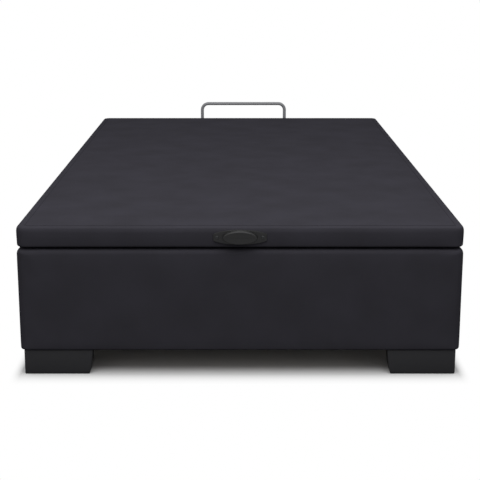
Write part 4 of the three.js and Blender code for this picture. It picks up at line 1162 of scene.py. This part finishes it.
ANGLE_SHEET = 2 * MM
ANGLE_SCREW_OUT = 32 * MM
ANGLE_SCREW_UP = 20 * MM  # from the plate's end
seats = []
for corner in CORNERS:
    name = f"corner_plate_{corner}"
    low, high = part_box(name)
    for z in (low.z + ANGLE_SCREW_UP, high.z - ANGLE_SCREW_UP):
        on_side = in_from_corner(name, ANGLE_SHEET, ANGLE_SCREW_OUT, z)
        on_end = in_from_corner(name, ANGLE_SCREW_OUT, ANGLE_SHEET, z)
        seats.append((on_side, (-side_of(name), 0, 0)))
        seats.append((on_end, (0, -end_of(name), 0)))
fasten("corner_plate_screws", "base", zinc, pan_head, seats)

FOOT_SCREWS = [(48 * MM, 82 * MM), (82 * MM, 48 * MM)]
GUSSET = 6 * MM
seats = []
for corner in CORNERS:
    name = f"foot_{corner}"
    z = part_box(name)[1].z - GUSSET
    seats += [(in_from_corner(name, in_x, in_y, z), (0, 0, -1)) for in_x, in_y in FOOT_SCREWS]
fasten("foot_screws", "base", zinc, pan_head, seats)

WALL_PLATE_SCREW_IN = 8 * MM
LID_PLATE_SCREW_IN = 10 * MM
LID_PLATE_SCREW_X = 486 * MM  # from the middle of the bed
LID_PLATE = 3 * MM
wall_seats, lid_seats = [], []
for side in SIDES:
    low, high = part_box(f"strut_wall_bracket_{side}")
    sx = side_of(side)
    face_x = (high.x if sx > 0 else low.x) - sx * LID_PLATE
    for y in (low.y + WALL_PLATE_SCREW_IN, high.y - WALL_PLATE_SCREW_IN):
        wall_seats.append((Vector((face_x, y, (low.z + high.z) / 2)), (-sx, 0, 0)))
    low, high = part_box(f"strut_lid_bracket_{side}")
    for y in (low.y + LID_PLATE_SCREW_IN, high.y - LID_PLATE_SCREW_IN):
        lid_seats.append((Vector((sx * LID_PLATE_SCREW_X, y, high.z - LID_PLATE)), (0, 0, -1)))
fasten("wall_bracket_screws", "base", black_steel, pan_head, wall_seats)
fasten("lid_bracket_screws", "lid", black_steel, pan_head, lid_seats)

LEAF_HALF = 40 * MM
WALL_LEAF_SCREW_IN = 18 * MM
LID_LEAF_SCREW_IN = 10 * MM
LEAF_SCREW_FROM_EDGE = 7.7 * MM
WALL_LEAF_FACE = 309.7 * MM  # heights above the floor, with the lid closed
LID_LEAF_FACE = 310.3 * MM
wall_seats, lid_seats = [], []
for name in HINGES:
    pin_low, pin_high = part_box(f"hinge_pin_{name}")
    middle_x = (pin_low.x + pin_high.x) / 2
    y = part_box(f"hinge_wall_leaf_{name}")[0].y + LEAF_SCREW_FROM_EDGE
    for step in (-1, 1):
        x = middle_x + step * (LEAF_HALF - WALL_LEAF_SCREW_IN)
        wall_seats.append((Vector((x, y, WALL_LEAF_FACE)), (0, 0, 1)))
        x = middle_x + step * (LEAF_HALF - LID_LEAF_SCREW_IN)
        lid_seats.append((Vector((x, y, LID_LEAF_FACE)), (0, 0, -1)))
fasten("wall_leaf_screws", "base", zinc, sunk_head, wall_seats)
fasten("lid_leaf_screws", "lid", zinc, sunk_head, lid_seats)

STRAP_SCREW_OUT = 14 * MM
STRAP_SHEET = 2 * MM
seats = []
for side in SIDES:
    low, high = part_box(f"bar_strap_{side}")
    for step in (-1, 1):
        x = (low.x + high.x) / 2 + step * STRAP_SCREW_OUT
        seats.append((Vector((x, low.y + STRAP_SHEET, (low.z + high.z) / 2)), (0, 1, 0)))
fasten("strap_screws", "lid", zinc, pan_head, seats)
for pattern in (pan_head, sunk_head):
    bpy.data.objects.remove(pattern)

# Staples: galvanised wire staples, 10 mm wide, shot through the folded edges of the cloth into the
# wall boards and the lid's rails, about 45 mm apart.
STAPLE_WIDE = 10 * MM
STAPLE_WIRE = 1.1 * MM
STAPLE_PROUD = 0.6 * MM
STAPLE_STEP = 45 * MM
STAPLE_FROM_EDGE = 5 * MM

crown = add_block(
    "crown",
    (-STAPLE_WIDE / 2, -STAPLE_WIRE / 2, -STAPLE_PROUD),
    (STAPLE_WIDE / 2, STAPLE_WIRE / 2, STAPLE_PROUD),
)
apply_modifier(crown, "BEVEL", width=STAPLE_PROUD / 2, segments=1)


def row(start, end, step):
    """Places along a line, a step or so apart, and half a step in from its ends."""
    start, end = Vector(start), Vector(end)
    count = round((end - start).length / step)
    return [start.lerp(end, (i + 0.5) / count) for i in range(count)]


seats = []
for name, (axis, sign, round_ends) in WALLS.items():
    low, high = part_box(name + "_cover")
    inner = (low if sign > 0 else high)[axis]
    across = 1 - axis
    margin = WALL_FOLD + 2 * STAPLE_WIDE
    ends = []
    for at in (low[across] + margin, high[across] - margin):
        point = [0, 0, high.z - WALL_FOLD + STAPLE_FROM_EDGE]
        point[axis], point[across] = inner, at
        ends.append(point)
    facing = [0, 0, 0]
    facing[axis] = -sign
    seats += [(at, facing) for at in row(*ends, STAPLE_STEP)]
fasten("wall_staples", "base", zinc, crown, seats)

fold_in = BAND_FOLD_TO - STAPLE_FROM_EDGE
left, right = fold_in - band_high.x, band_high.x - fold_in
front, rear = band_low.y + fold_in, band_high.y - fold_in
lid_edges = (
    ((left, front), (right, front)),
    ((left, rear), (right, rear)),
    ((left, front), (left, rear)),
    ((right, front), (right, rear)),
)
seats = []
for start, end in lid_edges:
    places = row((*start, band_low.z), (*end, band_low.z), STAPLE_STEP)
    seats += [(at, (0, 0, -1)) for at in places]
fasten("lid_staples", "lid", zinc, crown, seats)
bpy.data.objects.remove(crown)
